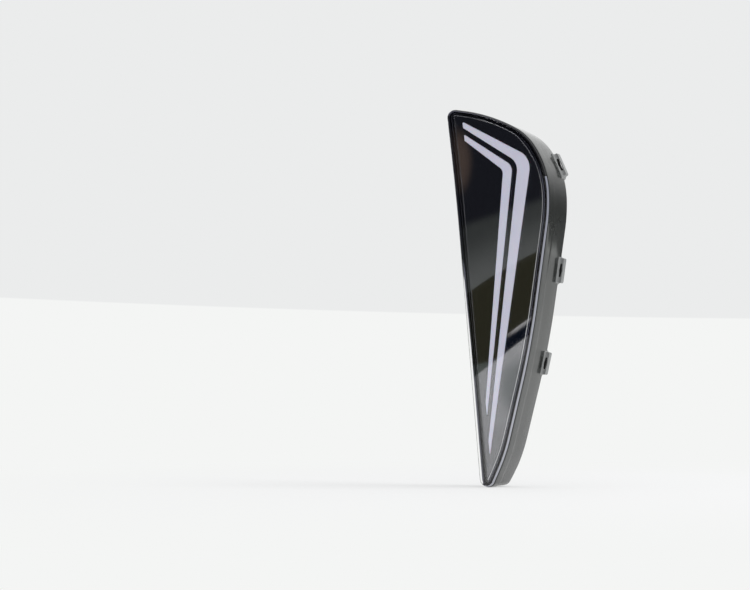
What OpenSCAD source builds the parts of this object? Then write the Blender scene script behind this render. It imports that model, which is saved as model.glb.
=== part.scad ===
// Daytime running light for a bumper, right-hand one of a mirror-image pair.
// X runs across the lamp towards its curved side, Y from the lens to the rear, Z up from the tip.
// The outlines are laid out from the tip and the lens face, and frame() moves the origin to the rear screw bosses.

/* [Lens outline] */
// Height of the sharp top corner above the tip
corner_h = 345.6; // [320:0.1:380]
// Distance of the sharp top corner from the tip, to the straight side
corner_x = 39.8; // [30:0.1:50]
// Distance of the widest point from the tip, to the curved side
wide_x = 63.9; // [56:0.1:72]
// Rounding of the top corner
corner_r = 4; // [2:0.5:6]
// Distance of the crown from the widest line
crown_in = 60.2; // [56:0.1:64]
// Drop of the crown below the top corner
crown_drop = 10.4; // [9:0.1:12]
// Rounding of the crown
crown_r = 180; // [120:5:190]
// Distance of the shoulder from the widest line
shoulder_in = 21.7; // [20:0.1:24]
// Drop of the shoulder below the top corner
shoulder_drop = 32.4; // [31:0.1:34]
// Rounding of the shoulder
shoulder_r = 60; // [50:1:62]
// Drop of the upper end of the widest stretch
brow_drop = 67.1; // [66:0.1:70]
// Rounding of the upper end of the widest stretch
brow_r = 85; // [70:1:86]
// Drop of the lower end of the widest stretch
waist_drop = 104.3; // [103:0.1:112]
// Rounding of the lower end of the widest stretch
waist_r = 150; // [100:5:155]
// Height of the flank, where the curved side turns in
flank_h = 125.3; // [110:0.1:140]
// Distance of the flank from the tip
flank_x = 45.4; // [43:0.1:47]
// Rounding of the flank
flank_r = 700; // [400:10:800]
// Height of the heel, where the curved side runs to the tip
heel_h = 29.4; // [26:0.1:33]
// Distance of the heel from the tip
heel_x = 19.4; // [18:0.1:21]
// Rounding of the heel
heel_r = 150; // [80:5:160]
// Rounding of the tip
tip_r = 7.2; // [6:0.1:7.6]
// How far below the tip the two long edges would meet
tip_reach = 19.1; // [18:0.1:21]
// How far to the straight side they would meet
tip_x = 4.4; // [3:0.1:6]
// Drop of the slight hollow in the straight edge
hollow_drop = 81.6; // [60:0.1:110]
// Distance of the hollow from the tip, to the straight side
hollow_x = 29.8; // [29:0.1:30.4]
// Rounding of the hollow
hollow_r = 2500; // [1000:100:4000]

/* [Lens] */
// Thickness of the lens
lens_t = 2.5; // [2:0.1:3]
// Rounding of its front edge
lens_edge_r = 2; // [1:0.1:2.4]
// Distance of the skirt from the edge of the lens
skirt_in = 2; // [1.8:0.1:2.4]
// Thickness of the skirt
skirt_t = 1.6; // [1.2:0.1:1.8]
// Length of the skirt behind the lens
skirt_l = 5.5; // [4:0.1:7]
// Thickness of the sealant beside and behind the skirt
seal_t = 0.5; // [0.3:0.1:0.7]

/* [Housing] */
// Depth from the lens face to the rear, at the top corner
depth_top = 41.5; // [40:0.1:48]
// Depth from the lens face to the rear, at the tip
depth_tip = 36.4; // [33:0.1:38]
// Thickness of the walls
wall_t = 2.3; // [2:0.1:3]
// Open line between the lens and the housing
parting = 0.5; // [0.3:0.1:0.8]
// How far the collar stands out past the edge of the lens
collar_out = 0.5; // [0.3:0.1:0.9]
// Length of the collar
collar_l = 9.6; // [8:0.1:12]
// Step from the collar to the side wall
collar_step = 0.7; // [0.4:0.1:1]
// Rounding of the rear edge
rear_r = 2.6; // [1.5:0.1:2.9]

/* [Snap loops] */
// Length of a loop along the side wall
loop_l = 23; // [20:0.5:26]
// How far a loop stands out
loop_out = 6.8; // [6:0.1:9]
// Thickness of a loop
loop_t = 3.4; // [2.6:0.1:4]
// Distance of a loop's front face from the rear of the housing
loop_back = 5; // [4:0.1:8]
// Length of the slot
slot_l = 12; // [10:0.5:15]
// Width of the slot
slot_w = 2.7; // [2:0.1:3.2]
// Width of the strip outside the slot
slot_rim = 1.9; // [1.6:0.1:2.4]
// Rounding of the loop's outer corners
loop_r = 2.5; // [1:0.1:4]
// Height of the lower loop
loop_low = 109.5; // [100:0.5:115]
// Height of the middle loop
loop_mid = 193; // [180:0.5:200]
// Drop of the upper loop below the top corner
loop_drop = 58; // [56:0.5:66]

/* [Bezel] */
// Width of the sunk border
border_w = 6; // [5.5:0.1:6.5]
// Clearance between the lens skirt and the bezel
bezel_gap = 0.3; // [0.2:0.1:0.5]
// Distance of the bezel face from the back of the lens
bezel_back = 0.8; // [0.6:0.1:1.2]
// How far the border lies behind the face
border_back = 1.2; // [1:0.1:1.4]
// Thickness of the bezel
bezel_t = 1.8; // [1.5:0.1:2]
// Width of the raised line round the face
line_w = 0.8; // [0.6:0.1:1.2]
// Height of the raised line
line_h = 0.35; // [0.2:0.05:0.4]
// Length of a clip
clip_l = 8; // [6:0.5:10]

/* [Light bars] */
// Distance of the bars' upper ends from the straight side
bar_start = 14.4; // [13:0.1:18]
// Drop of the outer bar's upper end below the top corner
outer_drop = 13.9; // [13:0.1:16]
// Width of the outer bar at its upper end
outer_start_w = 5.9; // [5:0.1:7]
// Distance of the outer bar's corner from the widest line
outer_bend_in = 17.2; // [16:0.1:20]
// Drop of the outer bar's corner below the top corner
outer_bend_drop = 54.4; // [53:0.1:57]
// Width of the outer bar at its corner
outer_bend_w = 13.4; // [11:0.1:14]
// How far the inside of the outer bar's corner lies below its outside
outer_bend_fall = 2.9; // [2:0.1:4]
// Distance of the outer bar's point from the tip
outer_end_x = 2.6; // [2:0.1:4]
// Height of the outer bar's point
outer_end_h = 26.4; // [25:0.1:40]
// Gap between the two bars at their upper ends
gap_start = 6; // [5:0.1:7]
// Gap between the two bars at their corners
gap_bend = 5.5; // [4.6:0.1:6]
// How far the inner bar's corner lies below the outer bar's
bend_fall = 5.4; // [4.5:0.1:6.5]
// Width of the inner bar at its upper end
inner_start_w = 5.9; // [5:0.1:7]
// Width of the inner bar at its corner
inner_bend_w = 9.6; // [8:0.1:10]
// How far the inside of the inner bar's corner lies below its outside
inner_bend_fall = 3.1; // [2.4:0.1:4]
// Distance of the inner bar's point from the tip
inner_end_x = 0; // [-0.5:0.1:0.5]
// Height of the inner bar's point
inner_end_h = 60.6; // [56:0.1:70]
// Length of the slanted cut at the foot of each bar
foot_l = 14; // [10:0.5:20]
// How far the slanted cut reaches across the foot
foot_w = 1.5; // [1:0.1:2]
// Rim round each bar behind the bezel
bar_rim = 0.9; // [0.6:0.1:1]
// Thickness of that rim
rim_t = 1.5; // [1:0.1:2]
// Clearance round each bar in its window
window_gap = 0.1; // [0.05:0.05:0.15]

/* [Light module] */
// Thickness of the tray's plate
tray_t = 1.5; // [1.2:0.1:2]
// Thickness of the channel walls
channel_t = 1.5; // [1.2:0.1:1.8]
// Length of the light channels
channel_l = 8.9; // [7:0.1:9.4]
// Thickness of the circuit boards
board_t = 1.6; // [1.2:0.1:2]
// Margin of the light board round the bars
board_margin = 4; // [3.5:0.1:4.5]
// Spacing of the diodes along a bar
led_pitch = 12; // [10:0.5:16]
// Length of a diode
led_l = 3.5; // [2.8:0.1:4]
// Width of a diode
led_w = 2.8; // [2:0.1:3]
// Height of a diode
led_t = 0.8; // [0.6:0.1:1.2]
// Thickness of the thermal pad
pad_t = 0.8; // [0.5:0.1:1.2]
// Thickness of the heat spreader
spreader_t = 2; // [1.5:0.1:2.4]
// Thread of the module screws
screw_d = 3; // [2.5:0.1:3.5]
// Length of the module screws under the head
screw_l = 14; // [12:0.5:15]

/* [Driver] */
// Width of the driver board
driver_w = 52; // [48:0.5:54]
// Height of the driver board
driver_h = 40; // [38:0.5:42]
// Share of the way from the upper to the lower module screw beside it at which the driver board is centred
driver_share = 0.62; // [0.4:0.01:0.65]
// Distance of the driver board's centre from the tip
driver_x = 16; // [14:0.5:18]
// Distance from the heat spreader to the driver board
driver_back = 5; // [4.4:0.1:5.4]

/* [Inlet socket] */
// Width of the plug space
mouth_w = 18; // [16:0.5:20]
// Height of the plug space
mouth_h = 10; // [9:0.5:12]
// Thickness of the socket's walls
socket_t = 1.6; // [1.4:0.1:2]
// Width of the socket's flange round the shell
flange_w = 5.4; // [5:0.1:6]
// Thickness of the flange
flange_t = 2; // [1.6:0.1:2.4]
// Thickness of the gasket
gasket_t = 1; // [0.8:0.1:1.4]
// Length of the contacts inside the plug space
pin_l = 7; // [5:0.5:8]

/* [Rear] */
// Distance from the lens face to the bosses' seats
seat_y = 45; // [44:0.1:50]
// Distance of the bosses from the tip
boss_x = 12; // [10:0.5:14]
// Height of the lower boss
boss_low = 90; // [85:1:95]
// Distance between the two bosses
boss_pitch = 160; // [150:1:168]
// Radius of a boss
boss_r = 5; // [4.5:0.1:6]
// Radius of the screw hole in a boss
pilot_r = 1.7; // [1.4:0.1:2]
// Depth of the screw hole
pilot_l = 12; // [10:0.5:13]
// Radius of the locating pin
locator_r = 3; // [2.5:0.1:3.5]
// Length of the locating pin
locator_l = 6; // [5:0.5:8]
// Drop of the locating pin below the top corner
locator_drop = 27; // [25:0.5:32]
// Distance of the locating pin from the tip, to the straight side
locator_x = 14; // [10:0.5:16]
// Radius of the vent cap
vent_r = 8; // [7:0.1:9]
// Height of the vent above the tip
vent_z = 142; // [138:1:150]

/* [Hidden] */
// Steps of a curve: more of them on a wide turn and on a large radius
smooth = 0.031;
// Smallest rounding left when an outline shrinks
least_r = 0.4;
// Overlap of a cut past the face that it opens
cut = 1;
far = 200;

// Layers from front to rear
rim_y = lens_t + parting;
skirt_y = lens_t + skirt_l;
ledge_y = skirt_y + seal_t;
rebate_in = skirt_in - seal_t;
ledge_in = rebate_in + 1.4;
body_in = collar_step - collar_out;
face_y = lens_t + bezel_back;
border_y = face_y + border_back;
bezel_in = skirt_in + skirt_t + bezel_gap;
tray_in = bezel_in + 1.9;
rim_front = face_y + bezel_t;
tray_y = rim_front + rim_t;
channel_y = tray_y + tray_t;
board_y = channel_y + channel_l;
pad_y = board_y + board_t;
spreader_y = pad_y + pad_t;
post_y = spreader_y + spreader_t;
driver_y = post_y + driver_back;
driver_rear = driver_y + board_t;

// Corners of the lens outline, anticlockwise seen from the front: place and rounding
LENS = [
    [wide_x, corner_h - waist_drop, waist_r],
    [wide_x, corner_h - brow_drop, brow_r],
    [wide_x - shoulder_in, corner_h - shoulder_drop, shoulder_r],
    [wide_x - crown_in, corner_h - crown_drop, crown_r],
    [-corner_x, corner_h, corner_r],
    [-hollow_x, corner_h - hollow_drop, hollow_r],
    [-tip_x, -tip_reach, tip_r],
    [heel_x, heel_h, heel_r],
    [flank_x, flank_h, flank_r]
];

// Plane geometry
function unit(v) = v / norm(v);
function across(v) = [-v[1], v[0]];
function turned(p, a) = [p[0] * cos(a) - p[1] * sin(a), p[0] * sin(a) + p[1] * cos(a)];
function blend(a, b, t) = a + (b - a) * t;
function place(v, i) = let (c = v[(i + len(v)) % len(v)]) [c[0], c[1]];
function run_in(v, i) = unit(place(v, i) - place(v, i - 1));
function run_out(v, i) = unit(place(v, i + 1) - place(v, i));
function bend(v, i) = let (a = run_in(v, i), b = run_out(v, i)) atan2(a[0] * b[1] - a[1] * b[0], a * b);
function steps(v, i) = max(1, ceil(abs(bend(v, i)) * sqrt(v[i][2]) * smooth));

// Length of a run, and the lengths that the roundings take of it at its two ends
function run(v, i) = norm(place(v, i) - place(v, i - 1));
function taken(v, i) = v[(i + len(v)) % len(v)][2] * tan(abs(bend(v, i)) / 2);
function room(v, i) = min(1, run(v, i) / (taken(v, i - 1) + taken(v, i) + 0.01));

// Shrinks the roundings where two of them need more than the run between them
function eased(v) = [
    for (i = [0 : len(v) - 1]) [v[i][0], v[i][1], v[i][2] * min(room(v, i), room(v, i + 1))]
];

// Moves every run of an outline inwards by d, and changes its roundings to suit
function inset(v, d) = [
    for (i = [0 : len(v) - 1])
        let (a = bend(v, i), e = run_in(v, i), q = place(v, i) + across(e) * d - e * d * tan(a / 2))
        [q[0], q[1], max(least_r, v[i][2] - sign(a) * d)]
];

// Rounds one corner by an arc of n steps
function fillet(v, i, n) =
    let (a = bend(v, i), e = run_in(v, i), r = v[i][2])
    let (start = place(v, i) - e * r * tan(abs(a) / 2), centre = start + across(e) * r * sign(a))
    [for (k = [0 : n]) centre + turned(start - centre, a * k / n)];

// The rounded outline of a list of corners, moved inwards by d
function outline(v, d = 0) =
    let (w = inset(eased(v), d))
    [for (i = [0 : len(v) - 1]) each fillet(w, i, steps(v, i))];

// Distance from the lens face to the rear of the housing at a height
function rear(z) = blend(depth_tip, depth_top, z / corner_h);

// Where the lens outline, moved inwards by d, crosses a height: to the curved side or to the straight side
function crossings(z, d) =
    let (p = outline(LENS, d), n = len(p))
    [
        for (i = [0 : n - 1])
            let (a = p[i], b = p[(i + 1) % n])
            if ((a[1] - z) * (b[1] - z) <= 0 && a[1] != b[1])
                [blend(a[0], b[0], (z - a[1]) / (b[1] - a[1])), atan2(b[1] - a[1], b[0] - a[0])]
    ];
function curved_side(z, d = 0) =
    let (c = crossings(z, d), x = max([for (q = c) q[0]]))
    [for (q = c) if (q[0] == x) q][0];
function straight_side(z, d = 0) = min([for (q = crossings(z, d)) q[0]]);

// Corners of the two light bars, anticlockwise: corner, upper end, inside of the corner and foot
outer_start_z = corner_h - outer_drop;
outer_start_x = straight_side(outer_start_z) + bar_start;
outer_bend_x = wide_x - outer_bend_in;
outer_bend_z = corner_h - outer_bend_drop;
inner_start_z = outer_start_z - outer_start_w - gap_start;
inner_start_x = straight_side(inner_start_z) + bar_start;
inner_bend_x = outer_bend_x - outer_bend_w - gap_bend;
inner_bend_z = outer_bend_z - bend_fall;
lean = straight_side(inner_start_z) - straight_side(outer_start_z);
end_lean = lean / (outer_start_w + gap_start);
bar_end_r = 0.8;

OUTER_BAR = [
    [outer_bend_x, outer_bend_z, 18],
    [outer_start_x, outer_start_z, bar_end_r],
    [outer_start_x + end_lean * outer_start_w, outer_start_z - outer_start_w, bar_end_r],
    [outer_bend_x - outer_bend_w, outer_bend_z - outer_bend_fall, 14],
    [outer_end_x - foot_w, outer_end_h + foot_l, 3],
    [outer_end_x, outer_end_h, bar_end_r / 2]
];
INNER_BAR = [
    [inner_bend_x, inner_bend_z, 10],
    [inner_start_x, inner_start_z, bar_end_r],
    [inner_start_x + end_lean * inner_start_w, inner_start_z - inner_start_w, bar_end_r],
    [inner_bend_x - inner_bend_w, inner_bend_z - inner_bend_fall, 7],
    [inner_end_x - foot_w, inner_end_h + foot_l, 3],
    [inner_end_x, inner_end_h, bar_end_r / 2]
];

// Places of the module screws, beside the inner bar: run of the bar's outline and share of its length
screw_off = 7;
function beside(run, t) =
    let (a = place(INNER_BAR, run), b = place(INNER_BAR, run + 1))
    blend(a, b, t) - across(unit(b - a)) * screw_off;
SCREWS = [beside(2, 0.35), beside(3, 0.09), beside(3, 0.59), beside(3, 0.8)];
screw_r = screw_d / 2;
screw_hole = screw_r + 0.2;
screw_head_r = screw_d * 0.95;
screw_head_t = screw_d * 0.7;
screw_web = 2;
screw_seat = board_y - screw_web;
screw_end = screw_seat + screw_l;
ear_r = 5.5;
post_r = 4;

// Place of the driver board and of its screws
driver_z = blend(SCREWS[1][1], SCREWS[2][1], driver_share);
driver_margin = 4;
driver_screw_l = 7;
DRIVER_SCREWS = [
    for (i = [-1, 1], k = [-1, 1])
        [driver_x + i * (driver_w / 2 - driver_margin), driver_z + k * (driver_h / 2 - driver_margin)]
];

// Half the width left between the screws for components on the driver board
bay = driver_w / 2 - driver_margin - post_r - 2;

// Inlet socket, from the driver board to its mouth
mouth_y = seat_y - 2;
gasket_y = mouth_y - flange_t - gasket_t;
socket_w = mouth_w + 2 * socket_t;
socket_h = mouth_h + 2 * socket_t;
socket_floor = driver_rear + 3;
pin_w = 1.5;
pin_t = 0.8;
pin_pitch = 4.5;
pin_end = socket_floor + pin_l;
corner_round = 2;
socket_screw_r = 1.1;
socket_screw_x = socket_w / 2 + flange_w / 2;

// Vent on the rear wall
vent_x = 20;
vent_hole = 2;
vent_tube = vent_r - 3;
vent_y = seat_y - 3;
membrane_t = 0.3;

// Board-to-board link, through the pad and the spreader
link_w = 14;
link_h = 5;
link_z = driver_z + 13;
link_x = blend(inner_bend_x, inner_end_x, (inner_bend_z - link_z) / (inner_bend_z - inner_end_h)) + 2;

module frame() {
    translate([-boss_x, -seat_y, -boss_low - boss_pitch / 2]) children();
}

// A flat outline of X and Z, carried from y0 to y1
module slab(y0, y1) {
    translate([0, y1, 0]) rotate([90, 0, 0]) linear_extrude(y1 - y0) children();
}

// The same with a rounded list of corners
module plate(v, d, y0, y1) {
    slab(y0, y1) polygon(outline(v, d));
}

// A round bar along Y
module rod(x, z, r, y0, y1) {
    translate([x, y0, z]) rotate([-90, 0, 0]) cylinder(r = r, h = y1 - y0, $fn = 48);
}

// All that lies behind the rear of the housing, brought forward by g
module behind(g = 0) {
    low = -far / 2;
    high = corner_h + far / 2;
    rotate([90, 0, 90]) translate([0, 0, -far]) linear_extrude(2 * far)
        polygon([[rear(low) - g, low], [far, low], [far, high], [rear(high) - g, high]]);
}

// Rings of a moulded shell: level ones at y, and ones that follow the rear at g in front of it
function level_ring(v, d, y) = [for (p = outline(v, d)) [p[0], y, p[1]]];
function rear_ring(v, d, g) = [for (p = outline(v, d)) [p[0], rear(p[1]) - g, p[1]]];

// A closed skin over rings that have the same number of points
module skin(rings) {
    n = len(rings[0]);
    last = len(rings) - 1;
    polyhedron(
        points = [for (r = rings) each r],
        faces = [
            [for (i = [n - 1 : -1 : 0]) i],
            [for (i = [0 : n - 1]) last * n + i],
            for (j = [0 : last - 1], i = [0 : n - 1]) [j * n + i, j * n + (i + 1) % n, (j + 1) * n + (i + 1) % n],
            for (j = [0 : last - 1], i = [0 : n - 1]) [j * n + i, (j + 1) * n + (i + 1) % n, (j + 1) * n + i]
        ]
    );
}

// A ring between two insets of the lens outline
module rim(d0, d1, y0, y1) {
    slab(y0, y1) difference() {
        polygon(outline(LENS, d0));
        polygon(outline(LENS, d1));
    }
}

// A box with rounded corners, centred on X and Z
module block(x, z, w, h, r, y0, y1) {
    slab(y0, y1) translate([x, z]) rounded_box(w, h, r);
}
module rounded_box(w, h, r) {
    polygon(outline([[w / 2, h / 2, r], [-w / 2, h / 2, r], [-w / 2, -h / 2, r], [w / 2, -h / 2, r]]));
}

// Housing: shell, snap loops, posts, bosses and the seats of socket and vent
module housing() {
    color("#2b2c2e") frame() difference() {
        union() {
            difference() {
                housing_skin();
                plate(LENS, rebate_in, rim_y - cut, ledge_y);
                difference() {
                    plate(LENS, ledge_in, ledge_y - cut, far);
                    behind(wall_t);
                }
            }
            for (z = [loop_low, loop_mid, corner_h - loop_drop]) snap_loop(z);
            for (p = SCREWS) rod(p[0], p[1], post_r, post_y, rear(p[1]) - wall_t / 2);
            for (p = DRIVER_SCREWS) rod(p[0], p[1], post_r, driver_rear, rear(p[1]) - wall_t / 2);
            for (z = [boss_low, boss_low + boss_pitch]) mounting_boss(boss_x, z);
            locating_pin();
            block(driver_x, driver_z, socket_w + 2 * flange_w, socket_h + 2 * flange_w, corner_round + 1,
                rear(driver_z) - wall_t, gasket_y);
            rod(vent_x, vent_z, vent_tube, rear(vent_z) - wall_t / 2, vent_y);
        }
        for (p = SCREWS) rod(p[0], p[1], screw_r, post_y - cut, screw_end + cut);
        for (p = DRIVER_SCREWS) rod(p[0], p[1], screw_r, driver_rear - cut, driver_y + driver_screw_l + cut);
        for (z = [boss_low, boss_low + boss_pitch]) rod(boss_x, z, pilot_r, seat_y - pilot_l, seat_y + cut);
        block(driver_x, driver_z, socket_w, socket_h, corner_round, post_y, seat_y);
        for (i = [-1, 1]) rod(driver_x + i * socket_screw_x, driver_z, socket_screw_r, gasket_y - 2, gasket_y + cut);
        rod(vent_x, vent_z, vent_hole, post_y, seat_y);
    }
}

// Outer form: collar, step, side wall and rounded rear edge
module housing_skin() {
    soft = 0.3;
    collar_y = rim_y + collar_l;
    skin([
        level_ring(LENS, soft - collar_out, rim_y),
        level_ring(LENS, -collar_out, rim_y + soft),
        level_ring(LENS, -collar_out, collar_y),
        level_ring(LENS, body_in, collar_y + collar_step),
        for (a = [0 : 30 : 90]) rear_ring(LENS, body_in + rear_r * (1 - cos(a)), rear_r * (1 - sin(a)))
    ]);
}

// Flat ear with a slot, square to the side wall
module snap_loop(z) {
    side = curved_side(z, body_in);
    root = 3;
    y0 = rear(z) - loop_back;
    slab(y0, y0 + loop_t) translate([side[0], z]) rotate(side[1]) difference() {
        polygon(outline([[loop_l / 2, root, 0.5], [-loop_l / 2, root, 0.5], [-loop_l / 2, -loop_out, loop_r],
            [loop_l / 2, -loop_out, loop_r]]));
        translate([0, slot_rim + slot_w / 2 - loop_out])
            polygon(outline([[slot_l / 2, slot_w / 2, 1], [-slot_l / 2, slot_w / 2, 1], [-slot_l / 2, -slot_w / 2, 1],
                [slot_l / 2, -slot_w / 2, 1]]));
    }
}

// Screw boss with four gussets on the rear wall
module mounting_boss(x, z) {
    rod(x, z, boss_r, seat_y - pilot_l - 2, seat_y);
    for (a = [0 : 90 : 270]) gusset(x, z, a, boss_r, seat_y - 1);
}

module gusset(x, z, a, r, top) {
    t = 1.5;
    foot = rear(z) - wall_t / 2;
    translate([x, 0, z]) rotate([0, a, 0]) translate([r - 1, 0, -t / 2]) linear_extrude(t)
        polygon([[0, foot], [r + 1, foot], [0, top]]);
}

module locating_pin() {
    z = corner_h - locator_drop;
    rod(-locator_x, z, locator_r + 2, rear(z) - wall_t / 2, seat_y);
    rod(-locator_x, z, locator_r, seat_y - cut, seat_y + locator_l);
    for (a = [45 : 90 : 315]) gusset(-locator_x, z, a, locator_r + 2, seat_y - 1);
}

// Lens: plate with a rounded front edge and a skirt that enters the housing
module lens() {
    color([0.85, 0.88, 0.92, 0.35]) frame() {
        skin([
            for (a = [0 : 22.5 : 90]) level_ring(LENS, lens_edge_r * (1 - sin(a)), lens_edge_r * (1 - cos(a))),
            level_ring(LENS, 0, lens_t)
        ]);
        rim(skirt_in, skirt_in + skirt_t, lens_t / 2, skirt_y);
    }
}

module lens_seal() {
    color("#1c1c1c") frame() {
        rim(rebate_in, skirt_in, rim_y + 1, skirt_y);
        rim(rebate_in, ledge_in, skirt_y, ledge_y);
    }
}

// Bezel: glossy face with two windows, raised line, sunk border and clips
module bezel() {
    border_end = border_y + bezel_t;
    overlap = 1.8;
    clip_t = 1.5;
    clip_end = channel_y + 1.2;
    color("#121010") frame() {
        rim(bezel_in, border_w + overlap, border_y, border_end);
        difference() {
            plate(LENS, border_w, face_y, rim_front);
            plate(OUTER_BAR, -window_gap, face_y - cut, rim_front + cut);
            plate(INNER_BAR, -window_gap, face_y - cut, rim_front + cut);
        }
        rim(border_w, border_w + line_w, face_y - line_h, border_end);
        for (t = [0.18, 0.4, 0.62, 0.84]) clip(corner_h * t, -1, border_end, clip_end, clip_t);
        for (t = [0.18, 0.43, 0.68]) clip(corner_h * t, 1, border_end, clip_end, clip_t);
    }
}

// One clip: a leg beside the tray's edge and a catch behind it
module clip(z, side, y0, y1, t) {
    middle = (straight_side(z) + curved_side(z)[0]) / 2;
    intersection() {
        union() {
            rim(bezel_in, bezel_in + t, y0 - cut / 2, y1);
            rim(bezel_in, tray_in + 0.8, channel_y + 0.1, y1);
        }
        translate([side > 0 ? middle : middle - far, 0, z - clip_l / 2]) cube([far, far, clip_l]);
    }
}

// A light bar: flush in its window, with a rim behind the bezel
module light_bar(v) {
    plate(v, 0, face_y, rim_front + cut / 2);
    plate(v, -bar_rim, rim_front, tray_y);
}

module outer_light_bar() {
    color("#c9c8de") frame() light_bar(OUTER_BAR);
}

module inner_light_bar() {
    color("#c9c8de") frame() light_bar(INNER_BAR);
}

// Tray: plate behind the bars, a light channel to the board behind each, and columns for the module screws
module reflector_tray() {
    column_r = screw_head_r + 1.3;
    color("#f2f2ee") frame() difference() {
        union() {
            plate(LENS, tray_in, tray_y, channel_y);
            rim(tray_in, tray_in + 1.4, border_y + bezel_t, channel_y);
            plate(OUTER_BAR, -channel_t, tray_y, board_y);
            plate(INNER_BAR, -channel_t, tray_y, board_y);
            for (p = SCREWS) rod(p[0], p[1], column_r, tray_y, board_y);
        }
        plate(OUTER_BAR, 0, tray_y - cut, board_y + cut);
        plate(INNER_BAR, 0, tray_y - cut, board_y + cut);
        for (p = SCREWS) rod(p[0], p[1], screw_head_r + 0.3, tray_y - cut, screw_seat);
        for (p = SCREWS) rod(p[0], p[1], screw_hole, tray_y, board_y + cut);
    }
}

// Outline that follows both bars at a margin, with an ear at each module screw
module band(margin, ear) {
    offset(r = margin, $fn = 24) {
        polygon(outline(OUTER_BAR));
        polygon(outline(INNER_BAR));
    }
    for (p = SCREWS) translate(p) circle(r = ear, $fn = 32);
}

// One layer of the light module, with its screw holes
module layer(margin, ear, hole, y0, y1) {
    difference() {
        slab(y0, y1) band(margin, ear);
        for (p = SCREWS) rod(p[0], p[1], hole, y0 - cut, y1 + cut);
        children();
    }
}

module link_window() {
    block(link_x, link_z, link_w + 2, link_h + 2, 1, pad_y, post_y + cut);
}

module led_board() {
    color("#e8e6df") frame() layer(board_margin, ear_r, screw_hole, board_y, pad_y);
}

module thermal_pad() {
    color("#9fb4c4") frame() layer(board_margin - 1, ear_r - 1, screw_hole + 0.5, pad_y, spreader_y) link_window();
}

module heat_spreader() {
    color("#b9bcc0") frame() layer(board_margin + 1, ear_r + 0.5, screw_hole, spreader_y, post_y) link_window();
}

// Diodes along the middle of a bar, on the board
module diodes(v) {
    start = (place(v, 1) + place(v, 2)) / 2;
    corner = (place(v, 0) + place(v, 3)) / 2;
    foot = (place(v, 4) + place(v, 5)) / 2;
    led_row(start, corner, led_l * 1.5, led_l * 3);
    led_row(corner, foot, led_l * 2, foot_l);
}

module led_row(a, b, first, last) {
    run = norm(b - a);
    way = unit(b - a);
    count = floor((run - first - last) / led_pitch);
    for (k = [0 : count]) {
        p = a + way * (first + k * led_pitch);
        slab(board_y - led_t, board_y) translate(p) rotate(atan2(way[1], way[0]))
            square([led_l, led_w], center = true);
    }
}

module outer_leds() {
    color("#f3e27a") frame() diodes(OUTER_BAR);
}

module inner_leds() {
    color("#f3e27a") frame() diodes(INNER_BAR);
}

// Screws with their heads towards the front
module screws(places, seat, l, r, head_r, head_t) {
    for (p = places) {
        rod(p[0], p[1], r, seat - cut / 2, seat + l);
        difference() {
            rod(p[0], p[1], head_r, seat - head_t, seat);
            rod(p[0], p[1], head_r * 0.45, seat - head_t - cut, seat - head_t * 0.45);
        }
    }
}

module module_screws() {
    color("#a8aaad") frame() screws(SCREWS, screw_seat, screw_l, screw_r, screw_head_r, screw_head_t);
}

module driver_screws() {
    color("#a8aaad") frame()
        screws(DRIVER_SCREWS, driver_y, driver_screw_l, screw_r, screw_head_r, screw_head_t);
}

module board_link() {
    color("#20242a") frame() {
        block(link_x, link_z, link_w, link_h, 0.5, pad_y, post_y);
        block(link_x, link_z, link_w - 2, link_h - 1.4, 0.4, post_y - cut / 2, driver_y);
    }
}

module driver_board() {
    color("#1f6b45") frame() difference() {
        block(driver_x, driver_z, driver_w, driver_h, 2, driver_y, driver_rear);
        for (p = DRIVER_SCREWS) rod(p[0], p[1], screw_hole, driver_y - cut, driver_rear + cut);
        for (i = [-1 : 1]) pin(i, driver_y - cut, driver_rear + cut);
    }
}

// A gull-wing chip on the front of the driver board
module driver_chip() {
    body = 6;
    x = driver_x - bay + body;
    z = driver_z + body;
    leg_t = 0.25;
    color("#1a1a1c") frame() {
        block(x, z, body, body + 2, 0.3, driver_y - 1.6, driver_y - leg_t);
        for (i = [-1, 1], k = [-1.5 : 1.5])
            translate([x + i * (body / 2 + 0.4) - 0.7, driver_y - leg_t * 2, z + k * 1.7 - 0.3])
                cube([1.4, leg_t * 2, 0.6]);
    }
}

// A drum coil: two flanges and the winding between them
module driver_coil() {
    r = 4.5;
    l = 5;
    x = driver_x - bay + r;
    z = driver_z - driver_h / 2 + r + 3;
    flange = 0.9;
    color("#3a3a3c") frame() {
        rod(x, z, r, driver_rear, driver_rear + flange);
        rod(x, z, r - 0.9, driver_rear + flange / 2, driver_rear + l - flange / 2);
        rod(x, z, r, driver_rear + l - flange, driver_rear + l);
    }
}

module driver_capacitors() {
    r = 3;
    l = 6;
    base = 2 * r + 0.6;
    z = driver_z - driver_h / 2 + base / 2 + 4;
    color("#c4c6c8") frame() for (i = [0, 1]) {
        x = driver_x + bay - base / 2 - i * (base + 1.4);
        block(x, z, base, base, 0.8, driver_rear, driver_rear + 0.8);
        rod(x, z, r, driver_rear + 0.4, driver_rear + l);
    }
}

module driver_resistors() {
    w = 1.6;
    z = driver_z + driver_h / 2 - 6;
    color("#26262a") frame() for (t = [-1 : 0.4 : 1])
        translate([driver_x + t * bay * 0.7 - w / 2, driver_rear, z]) cube([w, 0.6, 2 * w]);
}

// One contact of the socket
module pin(i, y0, y1) {
    translate([driver_x + i * pin_pitch - pin_w / 2, y0, driver_z - pin_t / 2]) cube([pin_w, y1 - y0, pin_t]);
}

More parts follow.
